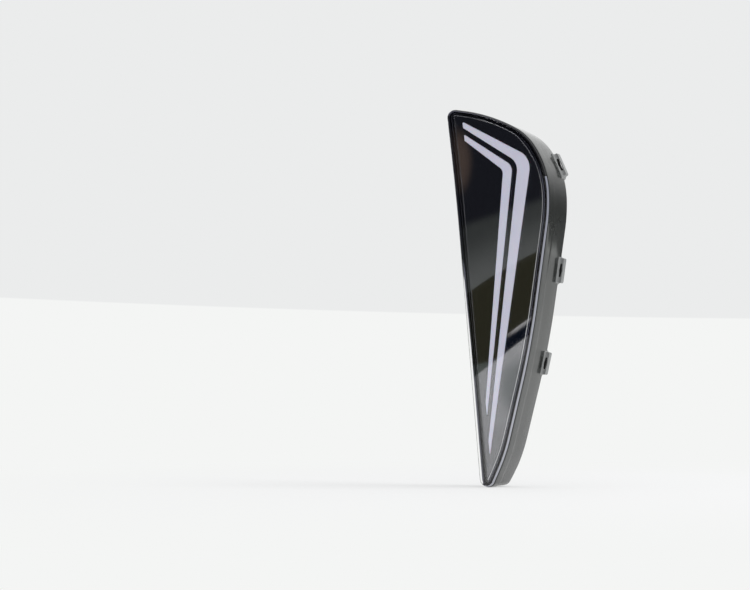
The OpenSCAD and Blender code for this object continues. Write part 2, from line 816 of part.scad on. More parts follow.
module socket_shell() {
    color("#1b1c1e") frame() difference() {
        union() {
            block(driver_x, driver_z, socket_w, socket_h, corner_round, driver_rear, mouth_y);
            block(driver_x, driver_z, socket_w + 2 * flange_w, socket_h + 2 * flange_w, corner_round + 1,
                mouth_y - flange_t, mouth_y);
        }
        block(driver_x, driver_z, mouth_w, mouth_h, corner_round / 2, socket_floor, mouth_y + cut);
        for (i = [-1 : 1]) pin(i, driver_rear - cut, socket_floor + cut);
        for (i = [-1, 1])
            rod(driver_x + i * socket_screw_x, driver_z, socket_screw_r, mouth_y - flange_t - cut, mouth_y + cut);
    }
}

module socket_pins() {
    color("#c9a64a") frame() for (i = [-1 : 1]) pin(i, driver_y - pin_t, pin_end);
}

module socket_gasket() {
    color("#2f3032") frame() difference() {
        block(driver_x, driver_z, socket_w + 2 * flange_w - 1, socket_h + 2 * flange_w - 1, corner_round + 0.5,
            gasket_y, gasket_y + gasket_t);
        block(driver_x, driver_z, socket_w, socket_h, corner_round, gasket_y - cut, gasket_y + gasket_t + cut);
        for (i = [-1, 1])
            rod(driver_x + i * socket_screw_x, driver_z, socket_screw_r, gasket_y - cut, gasket_y + gasket_t + cut);
    }
}

// Two small screws, driven from the rear
module socket_screws() {
    head_r = 1.9;
    head_t = 1.2;
    color("#a8aaad") frame() for (i = [-1, 1]) {
        x = driver_x + i * socket_screw_x;
        rod(x, driver_z, socket_screw_r, gasket_y - 1.5, mouth_y + head_t / 2);
        difference() {
            rod(x, driver_z, head_r, mouth_y, mouth_y + head_t);
            translate([x - head_r, mouth_y + head_t / 2, driver_z - 0.25]) cube([2 * head_r, cut, 0.5]);
        }
    }
}

// Cap with notches in its rim, so that air passes under it
module vent_cap() {
    foot = rear(vent_z) + 0.8;
    top = vent_y + membrane_t + 0.9;
    notch = 2;
    color("#18191a") frame() difference() {
        rod(vent_x, vent_z, vent_tube + 1.6, foot, top + 1.2);
        rod(vent_x, vent_z, vent_tube, foot - cut, vent_y);
        rod(vent_x, vent_z, vent_tube - 0.8, vent_y - cut, top);
        for (a = [0, 90])
            translate([vent_x, foot, vent_z]) rotate([0, a, 0])
                translate([-vent_r, -cut, -notch / 2]) cube([2 * vent_r, notch + cut, notch]);
    }
}

module vent_membrane() {
    color("#e9eaea") frame() rod(vent_x, vent_z, vent_tube - 1, vent_y, vent_y + membrane_t);
}

housing();
lens();
lens_seal();
bezel();
outer_light_bar();
inner_light_bar();
reflector_tray();
led_board();
outer_leds();
inner_leds();
thermal_pad();
heat_spreader();
module_screws();
board_link();
driver_board();
driver_chip();
driver_coil();
driver_capacitors();
driver_resistors();
driver_screws();
socket_shell();
socket_pins();
socket_gasket();
socket_screws();
vent_cap();
vent_membrane();
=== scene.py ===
"""Looks of a daytime running light for a bumper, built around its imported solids.

Sizes are in millimetres from the tip of the lens and its front face, as in the part's source: x across the
lamp, y from the lens to the rear, z up. `placed` moves them to the row frame, in metres. A section is a list
of pairs of inset and depth, with its small edge roundings written out in it.
"""

import logging
import math
from dataclasses import dataclass, field
from enum import Enum, IntEnum

import bpy
import numpy as np
from mathutils import Matrix, Vector
from mathutils.geometry import tessellate_polygon

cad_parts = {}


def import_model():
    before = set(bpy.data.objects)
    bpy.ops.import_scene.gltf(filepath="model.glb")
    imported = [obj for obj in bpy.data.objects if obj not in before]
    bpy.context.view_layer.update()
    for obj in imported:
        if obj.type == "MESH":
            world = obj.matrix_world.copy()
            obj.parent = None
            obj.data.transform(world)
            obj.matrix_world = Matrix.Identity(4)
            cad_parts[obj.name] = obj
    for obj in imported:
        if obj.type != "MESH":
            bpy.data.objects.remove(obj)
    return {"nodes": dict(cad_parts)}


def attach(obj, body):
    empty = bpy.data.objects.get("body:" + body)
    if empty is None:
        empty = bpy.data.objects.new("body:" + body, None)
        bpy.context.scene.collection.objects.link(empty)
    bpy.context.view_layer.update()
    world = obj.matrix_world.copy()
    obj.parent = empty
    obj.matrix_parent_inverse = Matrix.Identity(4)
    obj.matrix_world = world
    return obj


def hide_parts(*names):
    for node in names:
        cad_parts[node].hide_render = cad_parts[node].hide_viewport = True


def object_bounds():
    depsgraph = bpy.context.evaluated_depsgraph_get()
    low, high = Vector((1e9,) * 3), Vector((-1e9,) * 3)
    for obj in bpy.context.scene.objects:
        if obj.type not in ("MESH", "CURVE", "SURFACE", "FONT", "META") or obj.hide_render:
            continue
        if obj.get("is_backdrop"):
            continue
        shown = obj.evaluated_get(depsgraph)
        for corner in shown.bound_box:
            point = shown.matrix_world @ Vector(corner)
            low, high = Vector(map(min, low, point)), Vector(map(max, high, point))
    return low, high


LOG = logging.getLogger("running_light")
MM = 0.001
ROW_SHIFT = np.array([-12.0, -45.0, -170.0])
QUARTER = math.pi / 2
QUADRANTS = ((1, 1), (-1, 1), (-1, -1), (1, -1))
Array = np.ndarray
Pair = tuple[float, float]
Pairs = list[Pair]
Triple = tuple[float, float, float]
Profile = list[tuple[float, float, int]]
Material, Object, Node, Socket = bpy.types.Material, bpy.types.Object, bpy.types.Node, bpy.types.NodeSocket

# Rear wall: its depth at the tip, what that gains up to the top corner, and its thickness
REAR_AT_TIP, REAR_GAIN, TOP_CORNER_Z, REAR_WALL = 36.4, 5.1, 345.6, 2.3
# How strongly its edge is rounded off at the tip, and up to which height
TIP_ROUNDING, TIP_ROUNDED_TO = 0.0065, 22.0
# Parts of a normal between which a point comes to lie on the straight side, and on the top edge
FACES_STRAIGHT, FACES_UP = (0.5, 0.95), (0.6, 0.9)
# Heights between which a further inset of the straight side fades out
STRAIGHT_FADE = (110.0, 250.0)
# Places of the inlet and of the breather, as x and z
INLET, VENT = (16.0, 200.12), (20.0, 142.0)
# Steps along the arcs and the straight runs of a small outline
FINE_ARC, FINE_RUN = 0.25, 1.5
# Setting of a range that starts and ends softly
SMOOTH = {"interpolation_type": "SMOOTHSTEP"}


def placed(points: Array) -> Array:
    """Millimetres from the tip to metres in the row frame."""
    return (points + ROW_SHIFT) * MM


def rear_depth(z: Array | float) -> Array | float:
    """Depth of the rear wall: an even slope, less a square of the way below the rounding's upper end."""
    slope = REAR_AT_TIP + REAR_GAIN * z / TOP_CORNER_Z
    return slope - TIP_ROUNDING * np.maximum(0.0, TIP_ROUNDED_TO - z) ** 2


def outward(flat: Array) -> Array:
    """Unit normals of a closed anticlockwise ring: a point's chord between neighbours, turned."""
    chord = np.roll(flat, -1, 0) - np.roll(flat, 1, 0)
    return np.stack([chord[:, 1], -chord[:, 0]], 1) / np.linalg.norm(chord, axis=1)[:, None]


def eased(value: Array, first: float, last: float) -> Array:
    """0 before the first value and 1 past the last, by the smooth step 3t^2 - 2t^3 between them."""
    t = np.clip((value - first) / (last - first), 0.0, 1.0)
    return t * t * (3 - 2 * t)


class Measured(Enum):
    """What the depth of a station counts from."""

    FRONT = "lens face"
    REAR = "rear wall"


@dataclass(frozen=True)
class Corner:
    """A corner of an outline: its place and its rounding."""

    x: float
    z: float
    r: float


@dataclass(frozen=True)
class Station:
    """One ring of a moulded skin: how far inside the outline it lies, and how deep.

    `straight` and `top` are further insets on the straight side and along the top edge.
    """

    inset: float
    depth: float
    start: Measured = Measured.FRONT
    straight: float = 0.0
    top: float = 0.0


@dataclass(frozen=True)
class Outline:
    """A closed outline of rounded corners, anticlockwise seen from the front."""

    corners: tuple[Corner, ...]
    arc_step: float = 1.2
    run_step: float = 7.0
    least_r: float = 0.4
    least_steps: int = 6

    def ring(self, inset: float = 0.0) -> Array:
        """Points of the outline moved inwards.

        Each corner moves along its bisector, its rounding shrinks by the inset, and the arc between its two
        tangent points is divided evenly, as are the straight runs between arcs. The numbers of points come
        from the outline itself, so that rings of different insets match point by point.

        Args:
            inset: Distance inwards; a negative one grows the outline.

        Returns:
            An array of x and z, one row a point.
        """
        place = np.array([(c.x, c.z) for c in self.corners])
        radius = np.array([c.r for c in self.corners])
        along = np.roll(place, -1, 0) - place
        length = np.linalg.norm(along, axis=1)
        out_way = along / length[:, None]
        in_way = np.roll(out_way, 1, 0)
        cross = in_way[:, 0] * out_way[:, 1] - in_way[:, 1] * out_way[:, 0]
        turn = np.arctan2(cross, (in_way * out_way).sum(1))
        reach = np.tan(np.abs(turn) / 2)
        left = np.stack([-in_way[:, 1], in_way[:, 0]], 1)
        moved = place + left * inset - in_way * (inset * np.tan(turn / 2))[:, None]
        small = np.maximum(self.least_r, radius - np.sign(turn) * inset)
        start = moved - in_way * (small * reach)[:, None]
        end = moved + out_way * (small * reach)[:, None]
        centre = start + left * (small * np.sign(turn))[:, None]
        taken = radius * reach
        pieces = []
        for i in range(len(self.corners)):
            steps = max(self.least_steps, math.ceil(abs(turn[i]) * radius[i] / self.arc_step))
            a = np.linspace(0.0, turn[i], steps + 1)
            (p, q), cos, sin = start[i] - centre[i], np.cos(a), np.sin(a)
            pieces.append(centre[i] + np.stack([p * cos - q * sin, p * sin + q * cos], 1))
            j = (i + 1) % len(self.corners)
            runs = max(1, math.ceil((length[i] - taken[i] - taken[j]) / self.run_step))
            pieces.append(end[i] + (start[j] - end[i]) * (np.arange(1, runs) / runs)[:, None])
        return np.concatenate(pieces)

    def about(self, centre: Pair, count: int) -> Array:
        """Points of the outline at even angles about a point inside it.

        The distance from the point to the outline is interpolated over the angle, so that two outlines round
        the same point match ray by ray.

        Args:
            centre: The point, as x and z.
            count: Number of rays.

        Returns:
            An array of x and z, one row a ray.
        """
        arm = self.ring() - np.array(centre)
        angle = np.arctan2(arm[:, 1], arm[:, 0])
        order = np.argsort(angle)
        ray = np.linspace(-math.pi, math.pi, count, endpoint=False)
        reach = np.interp(ray, angle[order], np.linalg.norm(arm, axis=1)[order], period=2 * math.pi)
        return np.array(centre) + np.stack([np.cos(ray), np.sin(ray)], 1) * reach[:, None]

    def at(self, station: Station) -> Array:
        """The outline as points in space at a station.

        Each point lies at the inset outline's x and z. Where its normal points to the straight side it moves
        in by the station's further inset there, which an inward one loses with height, and likewise where it
        points up. Its y is the station's depth, or the rear wall's depth at its z less the station's depth.

        Args:
            station: The insets and depth.

        Returns:
            Points as x, y and z.
        """
        flat = self.ring(station.inset)
        normal = outward(flat)
        kept = 1 - (station.straight > 0) * eased(flat[:, 1], *STRAIGHT_FADE)
        further = station.straight * kept * eased(-normal[:, 0], *FACES_STRAIGHT)
        further += station.top * eased(normal[:, 1], *FACES_UP)
        flat = flat - normal * further[:, None]
        if station.start is Measured.REAR:
            y = rear_depth(flat[:, 1]) - station.depth
        else:
            y = np.full(len(flat), station.depth)
        return np.stack([flat[:, 0], y, flat[:, 1]], 1)

    def rings(self, rows: list[Station]) -> Array:
        """The outline at each of the stations, as rings by points by three."""
        return np.array([self.at(row) for row in rows])


def stations(pairs: Pairs, start: Measured = Measured.FRONT, straight: float = 0.0,
             top: float = 0.0) -> list[Station]:
    """Pairs of inset and depth as stations."""
    return [Station(inset, depth, start, straight, top) for inset, depth in pairs]


def box_outline(x: float, z: float, width: float, height: float, r: float) -> Outline:
    """A rectangle with rounded corners about a centre."""
    corners = tuple(Corner(x + i * width / 2, z + k * height / 2, r) for i, k in QUADRANTS)
    return Outline(corners, FINE_ARC, FINE_RUN)


def arc(inset: float, depth: float, r: float, first: float, last: float, steps: int = 6) -> Pairs:
    """Pairs of a rounded edge.

    A point of the arc lies at inset plus r times the cosine, and at depth plus r times the sine, of an angle
    that runs evenly from the first to the last.

    Args:
        inset: Inset of the arc's centre.
        depth: Depth of the arc's centre.
        r: Radius of the rounding.
        first: First angle, in degrees.
        last: Last angle, in degrees.
        steps: Number of steps between them.

    Returns:
        Pairs of inset and depth.
    """
    a = np.radians(np.linspace(first, last, steps + 1))
    return list(zip(inset + r * np.cos(a), depth + r * np.sin(a)))


@dataclass
class Skin:
    """Gathers the grids and caps of one piece, and makes its mesh."""

    points: list[Array] = field(default_factory=list)
    corners: list[Array] = field(default_factory=list)
    sizes: list[Array] = field(default_factory=list)
    slots: list[Array] = field(default_factory=list)
    maps: list[Array] = field(default_factory=list)
    creases: list[Array] = field(default_factory=list)
    count: int = 0

    def add_faces(self, corners: Array, slot: int | Array, where: Array) -> None:
        """Adds faces with the same number of corners.

        Args:
            corners: Point numbers, one row a face.
            slot: Material slot of the faces, one for all or one each.
            where: Map coordinates of each corner of each face.
        """
        self.corners.append(corners.ravel())
        self.sizes.append(np.full(len(corners), corners.shape[1]))
        self.slots.append(np.broadcast_to(slot, len(corners)))
        self.maps.append(where.reshape(-1, 2))

    def grid(self, rings: Array, slot: int | Array = 0, closed: bool = False, flip: bool = False) -> Array:
        """Adds the quads between successive closed rings.

        The quad between ring j and ring j + 1 at point i joins the points i and i + 1 of both. On rings that
        run anticlockwise seen from the front and go from the front to the rear, the faces look outwards. The
        map runs along the ring in u and across the rings in v, both as lengths.

        Args:
            rings: Points as rings by points by three.
            slot: Material slot, or an array of them that fits the rows of quads by the quads in a row.
            closed: Joins the last ring to the first.
            flip: Turns the faces round.

        Returns:
            The point numbers as rings by points.
        """
        numbers = self.count + np.arange(rings.size // 3).reshape(rings.shape[:2])
        self.points.append(rings.reshape(-1, 3))
        self.count += numbers.size
        looped = np.concatenate([rings, rings[:, :1]], 1)
        u, v = np.zeros(looped.shape[:2]), np.zeros(looped.shape[:2])
        u[:, 1:] = np.cumsum(np.linalg.norm(np.diff(looped, axis=1), axis=2), 1)
        u[:] = u[len(u) // 2]
        v[1:] = np.cumsum(np.linalg.norm(np.diff(looped, axis=0), axis=2), 0)
        uv = np.stack([u, v], 2)
        rows = np.arange(len(rings) if closed else len(rings) - 1)
        after = (rows + 1) % len(rings)
        turned = np.roll(numbers, -1, 1)
        quads = np.stack([numbers[rows], numbers[after], turned[after], turned[rows]], 2)
        where = np.stack([uv[rows][:, :-1], uv[after][:, :-1], uv[after][:, 1:], uv[rows][:, 1:]], 2)
        if flip:
            quads, where = quads[..., ::-1], where[..., ::-1, :]
        self.add_faces(quads.reshape(-1, 4), np.broadcast_to(slot, quads.shape[:2]).ravel(), where)
        return numbers

    def cap(self, loops: list[Array], flip: bool = False) -> None:
        """Closes a flat opening, less the holes in it, with triangles between points that are there already.

        Args:
            loops: Point numbers of the outer ring, then of each hole.
            flip: False for a face that looks to the front, True for one that looks to the rear.
        """
        everything = np.concatenate(self.points)
        flat = [[Vector((x, z, 0.0)) for x, _, z in everything[loop]] for loop in loops]
        numbers = np.concatenate(loops)[np.array(tessellate_polygon(flat))]
        a, b, c = (everything[numbers[:, i]][:, [0, 2]] for i in range(3))
        area = (b - a)[:, 0] * (c - a)[:, 1] - (b - a)[:, 1] * (c - a)[:, 0]
        wrong = (area < 0) != flip
        numbers[wrong] = numbers[wrong][:, ::-1]
        self.add_faces(numbers, 0, everything[numbers][..., [0, 2]] * MM)
        self.creases += [np.stack([loop, np.roll(loop, -1)], 1) for loop in loops]

    def close(self, numbers: Array) -> None:
        """Caps the first ring of a grid to the front and the last one to the rear."""
        self.cap([numbers[0]])
        self.cap([numbers[-1]], flip=True)

    def sharpen(self, mesh: bpy.types.Mesh) -> None:
        """Keeps the shading of flat faces flat, by a sharp edge all round each of them.

        An edge is known by its lower point number times the number of points, plus its higher one.

        Args:
            mesh: The mesh made from this skin.
        """
        ends = np.zeros(len(mesh.edges) * 2, np.int32)
        mesh.edges.foreach_get("vertices", ends)
        ends = np.sort(ends.reshape(-1, 2).astype(np.int64), 1)
        rims = np.sort(np.concatenate(self.creases).astype(np.int64), 1)
        layer = mesh.attributes.get("sharp_edge") or mesh.attributes.new("sharp_edge", "BOOLEAN", "EDGE")
        sharp = np.zeros(len(mesh.edges), bool)
        layer.data.foreach_get("value", sharp)
        sharp |= np.isin(ends[:, 0] * self.count + ends[:, 1], rims[:, 0] * self.count + rims[:, 1])
        layer.data.foreach_set("value", sharp)

    def make(self, name: str, materials: list[Material], sharp: float = 40.0) -> Object:
        """Makes the object from all that was added.

        Args:
            name: Name of the piece.
            materials: Its materials, in slot order.
            sharp: Edges that turn by more than this many degrees stay sharp.

        Returns:
            The finished object, on the root body.
        """
        mesh = bpy.data.meshes.new(name)
        corners, sizes = np.concatenate(self.corners), np.concatenate(self.sizes)
        starts = np.concatenate([[0], np.cumsum(sizes)[:-1]])
        mesh.vertices.add(self.count)
        mesh.vertices.foreach_set("co", placed(np.concatenate(self.points)).astype(np.float32).ravel())
        mesh.loops.add(len(corners))
        mesh.loops.foreach_set("vertex_index", corners.astype(np.int32))
        mesh.polygons.add(len(sizes))
        mesh.polygons.foreach_set("loop_start", starts.astype(np.int32))
        mesh.polygons.foreach_set("material_index", np.concatenate(self.slots).astype(np.int32))
        layer = mesh.uv_layers.new(name="surface")
        layer.data.foreach_set("uv", np.concatenate(self.maps).astype(np.float32).ravel())
        for material in materials:
            mesh.materials.append(material)
        mesh.update(calc_edges=True)
        mesh.validate()
        mesh.shade_smooth()
        mesh.set_sharp_from_angle(angle=math.radians(sharp))
        if self.creases:
            self.sharpen(mesh)
        obj = shown(name, mesh)
        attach(obj, "root")
        return obj


def shown(name: str, data: bpy.types.ID) -> Object:
    """Adds an object to the scene.

    Args:
        name: Its name.
        data: Its mesh, lamp or camera.

    Returns:
        The object.
    """
    obj = bpy.data.objects.new(name, data)
    bpy.context.scene.collection.objects.link(obj)
    return obj


def linear(colour: str) -> tuple[float, float, float, float]:
    """Turns a colour from sRGB to linear, by the standard's curve.

    Args:
        colour: The sRGB colour as hex.

    Returns:
        Linear red, green and blue, and an alpha of 1.
    """
    part = np.array([int(colour[i:i + 2], 16) for i in (1, 3, 5)]) / 255.0
    rgb = np.where(part <= 0.04045, part / 12.92, ((part + 0.055) / 1.055) ** 2.4)
    return (float(rgb[0]), float(rgb[1]), float(rgb[2]), 1.0)


def scale(mm: float) -> float:
    """Scale of a pattern whose features are this many millimetres wide."""
    return 1 / (mm * MM)


@dataclass
class Tree:
    """A node tree, emptied and built anew."""

    graph: bpy.types.NodeTree

    def __post_init__(self) -> None:
        """Empties it."""
        self.graph.nodes.clear()

    def add(self, kind: str, inputs: dict[str | int, object] | None = None, **settings: object) -> Node:
        """Adds a node with its settings, plain values and links.

        Args:
            kind: Node type without its ShaderNode prefix.
            inputs: Input name or number, to a plain value, an output socket, or a node, which stands for the
                first output it has with its settings.
            settings: Properties of the node.

        Returns:
            The new node.
        """
        made = self.graph.nodes.new("ShaderNode" + kind)
        for name, value in settings.items():
            setattr(made, name, value)
        for key, value in (inputs or {}).items():
            if isinstance(value, Node):
                value = next(output for output in value.outputs if output.enabled)
            if isinstance(value, Socket):
                self.graph.links.new(value, made.inputs[key])
            else:
                made.inputs[key].default_value = value
        return made


@dataclass(frozen=True)
class Finish:
    """A surface, named for its real material. Each kind of it has its own shader."""

    name: str

    def shader(self, tree: Tree) -> Node:
        """Adds the nodes of its look and returns the last one."""
        raise NotImplementedError

    def material(self) -> Material:
        """Builds the node material.

        Returns:
            The material.
        """
        material = bpy.data.materials.new(self.name)
        material.use_nodes = True
        tree = Tree(material.node_tree)
        tree.add("OutputMaterial", {"Surface": self.shader(tree)})
        return material


@dataclass(frozen=True)
class MouldedPlastic(Finish):
    """Injection-moulded plastic with a spark-eroded grain: a soft sheen with a fine, even unevenness.

    The grain of the real tool is near 0.2 mm. It is drawn at grain_mm, coarse enough to show. Where wanted,
    flow streaks run along the wall, as long and as wide as streak_mm says.
    """

    name: str = "moulded_pp_black"
    colour: str = "#282b29"
    shade: str = "#222523"
    roughness: float = 0.3
    grain_mm: float = 1.1
    grain_depth: float = 0.18
    streak_depth: float = 0.0
    sheen: float = 0.3
    sheen_roughness: float = 0.26
    body_gloss: float = 0.5
    ior: float = 1.5
    cloud_mm: float = 1000 / 22
    streak_mm: Pair = (1000 / 3, 1000 / 150)

    def shader(self, tree: Tree) -> Node:
        """Adds a body whose tone and gloss vary in faint clouds, with the grain and the streaks as bump.

        Args:
            tree: Node tree of the material.

        Returns:
            The shader's node.
        """
        where = tree.add("TexCoord").outputs
        grain = tree.add("TexNoise", {
            "Vector": where["Object"], "Scale": scale(self.grain_mm), "Detail": 2.0, "Roughness": 0.6})
        cloud = tree.add("TexNoise", {
            "Vector": where["Object"], "Scale": scale(self.cloud_mm), "Detail": 3.0})
        tone = tree.add("Mix", {0: cloud, 6: linear(self.shade), 7: linear(self.colour)}, data_type="RGBA")
        rough = tree.add("MapRange", {
            "Value": cloud, "From Min": 0.3, "From Max": 0.7, "To Min": self.roughness - 0.04,
            "To Max": self.roughness + 0.05})
        bump = tree.add("Bump", {"Height": grain, "Strength": self.grain_depth, "Distance": 0.1 * MM})
        if self.streak_depth > 0:
            size = (*map(scale, self.streak_mm), 1.0)
            stretch = tree.add("Mapping", {"Vector": where["UV"], "Scale": size})
            streak = tree.add("TexNoise", {"Vector": stretch, "Scale": 1.0, "Detail": 2.0})
            bump = tree.add("Bump", {
                "Height": streak, "Strength": self.streak_depth, "Distance": 0.4 * MM, "Normal": bump})
        return tree.add("BsdfPrincipled", {
            "Base Color": tone, "Roughness": rough, "IOR": self.ior, "Specular IOR Level": self.body_gloss,
            "Coat Weight": self.sheen, "Coat Roughness": self.sheen_roughness, "Normal": bump})


@dataclass(frozen=True)
class PaintedLitEdge(Finish):
    """The edge of clear polycarbonate, painted pale lavender: painted light for the light that runs inside
    the sheet and leaves here.

    The painted light is paler at the tip, where the sheet is narrow, than at the shoulder. The two heights
    are those of the row frame.
    """

    name: str = "clear_polycarbonate_edge_painted_light"
    tip: str = "#aeb0b8"
    shoulder: str = "#838692"
    tip_z: float = -110.0
    shoulder_z: float = 110.0
    roughness: float = 0.2
    drawn_mm: float = 1000 / 45

    def shader(self, tree: Tree) -> Node:
        """Adds the painted light: a pale, faintly drawn edge under a polished skin.

        Args:
            tree: Node tree of the material.

        Returns:
            The shader's node.
        """
        where = tree.add("TexCoord").outputs["Object"]
        drawn = tree.add("TexNoise", {"Vector": where, "Scale": scale(self.drawn_mm), "Detail": 2.0})
        height = tree.add("SeparateXYZ", {0: where}).outputs["Z"]
        share = tree.add("MapRange", {
            "Value": height, "From Min": self.tip_z * MM, "From Max": self.shoulder_z * MM})
        tone = tree.add("Mix", {0: share, 6: linear(self.tip), 7: linear(self.shoulder)}, data_type="RGBA")
        bump = tree.add("Bump", {"Height": drawn, "Strength": 0.03, "Distance": 0.05 * MM})
        return tree.add("BsdfPrincipled", {
            "Base Color": tone, "Roughness": self.roughness, "IOR": 1.585, "Normal": bump})


@dataclass(frozen=True)
class OpalPlastic(Finish):
    """Opal acrylic with light-scattering filler: soft, see-through at its very edges, faintly lavender."""

    name: str = "opal_pmma"
    colour: str = "#d9d9e8"
    shade: str = "#d2d2e3"
    roughness: float = 0.32
    cloud_mm: float = 1000 / 60

    def shader(self, tree: Tree) -> Node:
        """Adds a pale body with a faint clouding of its filler.

        Args:
            tree: Node tree of the material.

        Returns:
            The shader's node.
        """
        where = tree.add("TexCoord").outputs["Object"]
        cloud = tree.add("TexNoise", {"Vector": where, "Scale": scale(self.cloud_mm), "Detail": 3.0})
        tone = tree.add("Mix", {0: cloud, 6: linear(self.shade), 7: linear(self.colour)}, data_type="RGBA")
        bump = tree.add("Bump", {"Height": cloud, "Strength": 0.03, "Distance": 0.1 * MM})
        return tree.add("BsdfPrincipled", {
            "Base Color": tone, "Roughness": self.roughness, "Subsurface Weight": 0.2,
            "Subsurface Scale": 2 * MM, "IOR": 1.49, "Normal": bump})


@dataclass(frozen=True)
class ClearPlastic(Finish):
    """Polycarbonate from a polished tool: clear, bends light at its rounded edge, and mirrors a little."""

    name: str = "clear_polycarbonate"
    ior: float = 1.585
    roughness: float = 0.0

    def shader(self, tree: Tree) -> Node:
        """Adds a clear body."""
        return tree.add("BsdfPrincipled", {
            "Base Color": (1, 1, 1, 1), "Roughness": self.roughness, "IOR": self.ior,
            "Transmission Weight": 1.0})


@dataclass(frozen=True)
class Metal(Finish):
    """Bare or plated metal with the fine lines of how it was made, stretched along them.

    `spread` is what the lines take from the roughness and add to it.
    """

    colour: str
    roughness: float = 0.3
    line_mm: float = 0.6
    stretch: Triple = (1.0, 1.0, 1.0)
    spread: Pair = (-0.08, 0.1)
    detail: float = 3.0
    depth: float = 0.15
    rise_mm: float = 0.05

    def shader(self, tree: Tree) -> Node:
        """Adds metal with its lines in bump and roughness.

        Args:
            tree: Node tree of the material.

        Returns:
            The shader's node.
        """
        where = tree.add("TexCoord").outputs["Object"]
        aimed = tree.add("Mapping", {"Vector": where, "Scale": self.stretch})
        lines = tree.add("TexNoise", {"Vector": aimed, "Scale": scale(self.line_mm), "Detail": self.detail})
        least, most = (self.roughness + part for part in self.spread)
        rough = tree.add("MapRange", {"Value": lines, "To Min": least, "To Max": most})
        bump = tree.add("Bump", {"Height": lines, "Strength": self.depth, "Distance": self.rise_mm * MM})
        return tree.add("BsdfPrincipled", {
            "Base Color": linear(self.colour), "Metallic": 1.0, "Roughness": rough, "Normal": bump})


@dataclass(frozen=True)
class VacuumMetal(Metal):
    """Plastic with a metal layer laid on in a vacuum and lacquered: an even, sharp, tinted mirror.

    Instead of lines it has a trace of waviness and haze.
    """

    roughness: float = 0.01
    line_mm: float = 40.0
    spread: Pair = (0.0, 0.02)
    detail: float = 2.0
    depth: float = 0.04
    rise_mm: float = 0.15


def revolve(x: float, z: float, profile: Profile, count: int = 64) -> Array:
    """Rings of a turned form about an axis along y.

    A point lies at its radius round the axis. Its y is its depth, plus the rear wall's depth at that point's
    z where it is measured from the rear wall, so that a foot follows the sloping wall.

    Args:
        x: Place of the axis.
        z: Height of the axis.
        profile: Radius, depth, and 1 where the depth counts from the rear wall or 0 where it doesn't.
        count: Points round a ring.

    Returns:
        Rings by points by three.
    """
    radii, depths, on_rear = (np.array(column, float)[:, None] for column in zip(*profile))
    a = np.linspace(0.0, 2 * math.pi, count, endpoint=False)
    up = z + radii * np.sin(a)
    return np.stack([x + radii * np.cos(a), depths + on_rear * rear_depth(up), up], 2)


def foot(r: float, fillet: float = 1.2, steps: int = 5) -> Profile:
    """The hollow rounding between the rear wall and an upright of radius r, as a quarter arc."""
    a = np.linspace(0.0, QUARTER, steps + 1)
    return [(r + fillet * (1 - math.sin(t)), fillet * (1 - math.cos(t)), 1) for t in a]


@dataclass(frozen=True)
class Gusset:
    """A thin rib that props an upright on the rear wall."""

    x: float
    z: float
    angle: float
    reach: float
    top: float
    inner: float = 4.4
    width: float = 1.5
    top_reach: float = 1.2
    draft: float = 0.24
    edge_r: float = 0.35
    fillet: float = 0.5
    fillet_h: float = 0.6
    crown_from: float = 0.93
    shares: tuple[float, ...] = (-0.08, 0.0, 0.03, 0.08, 0.3, 0.55, 0.8, 0.93, 0.98, 1.0)

    def add(self, skin: Skin) -> None:
        """Adds the rib: rounded rectangles stacked from inside the wall to its top, at shares of its height.

        A rectangle's end goes in evenly to the top reach, and its width shrinks by the draft. Both flare by
        a square of the share of the fillet's height left, and shrink by a square over the crown. The wall's
        slope fades out on the way up.

        Args:
            skin: Skin that takes it.
        """
        base = float(rear_depth(self.z))
        height = self.top - base
        way = np.array([math.cos(self.angle), math.sin(self.angle)])
        side = np.array([-way[1], way[0]])
        size = np.array([4 * self.width, self.width])
        plain = box_outline(0.0, 0.0, *size, self.edge_r).ring() / size
        start = self.inner - 1
        rings = []
        for share in self.shares:
            up = max(share, 0.0)
            flare = self.fillet * max(0.0, 1 - up * height / self.fillet_h) ** 2
            crown = self.edge_r * max(0.0, (share - self.crown_from) / (1 - self.crown_from)) ** 2
            end = self.reach - up * (self.reach - self.inner - self.top_reach) + flare - crown
            width = self.width - self.draft * up + 2 * (flare - crown)
            flat = plain * np.array([end - start, width]) + np.array([(start + end) / 2, 0.0])
            plan = np.array([self.x, self.z]) + flat[:, :1] * way + flat[:, 1:] * side
            lift = share * height + (rear_depth(plan[:, 1]) - base) * (1 - up)
            rings.append(np.stack([plan[:, 0], base + lift, plan[:, 1]], 1))
        skin.cap([skin.grid(np.array(rings))[-1]], flip=True)


@dataclass(frozen=True)
class Upright:
    """A turned form on the rear wall with a seat that meets the bumper, propped by four gussets."""

    x: float
    z: float
    r: float = 5.0
    seat: float = 45.0
    first_gusset: float = 0.0
    gusset_reach: float = 10.0

    def end(self) -> Profile:
        """The profile from the seat to its end."""
        raise NotImplementedError

    def add(self, skin: Skin) -> Array:
        """Adds the upright and its gussets.

        Args:
            skin: Skin that takes it.

        Returns:
            The point numbers of the ring in which it meets the rear wall.
        """
        r, seat = self.r, self.seat
        shoulder = [(r - 0.05, seat - 0.5, 0), (r - 0.2, seat - 0.15, 0), (r - 0.5, seat, 0)]
        numbers = skin.grid(revolve(self.x, self.z, foot(r) + shoulder + self.end()))
        skin.cap([numbers[-1]], flip=True)
        for k in range(4):
            angle = (k + self.first_gusset) * QUARTER
            Gusset(self.x, self.z, angle, self.gusset_reach, seat - 1.0).add(skin)
        return numbers[0]


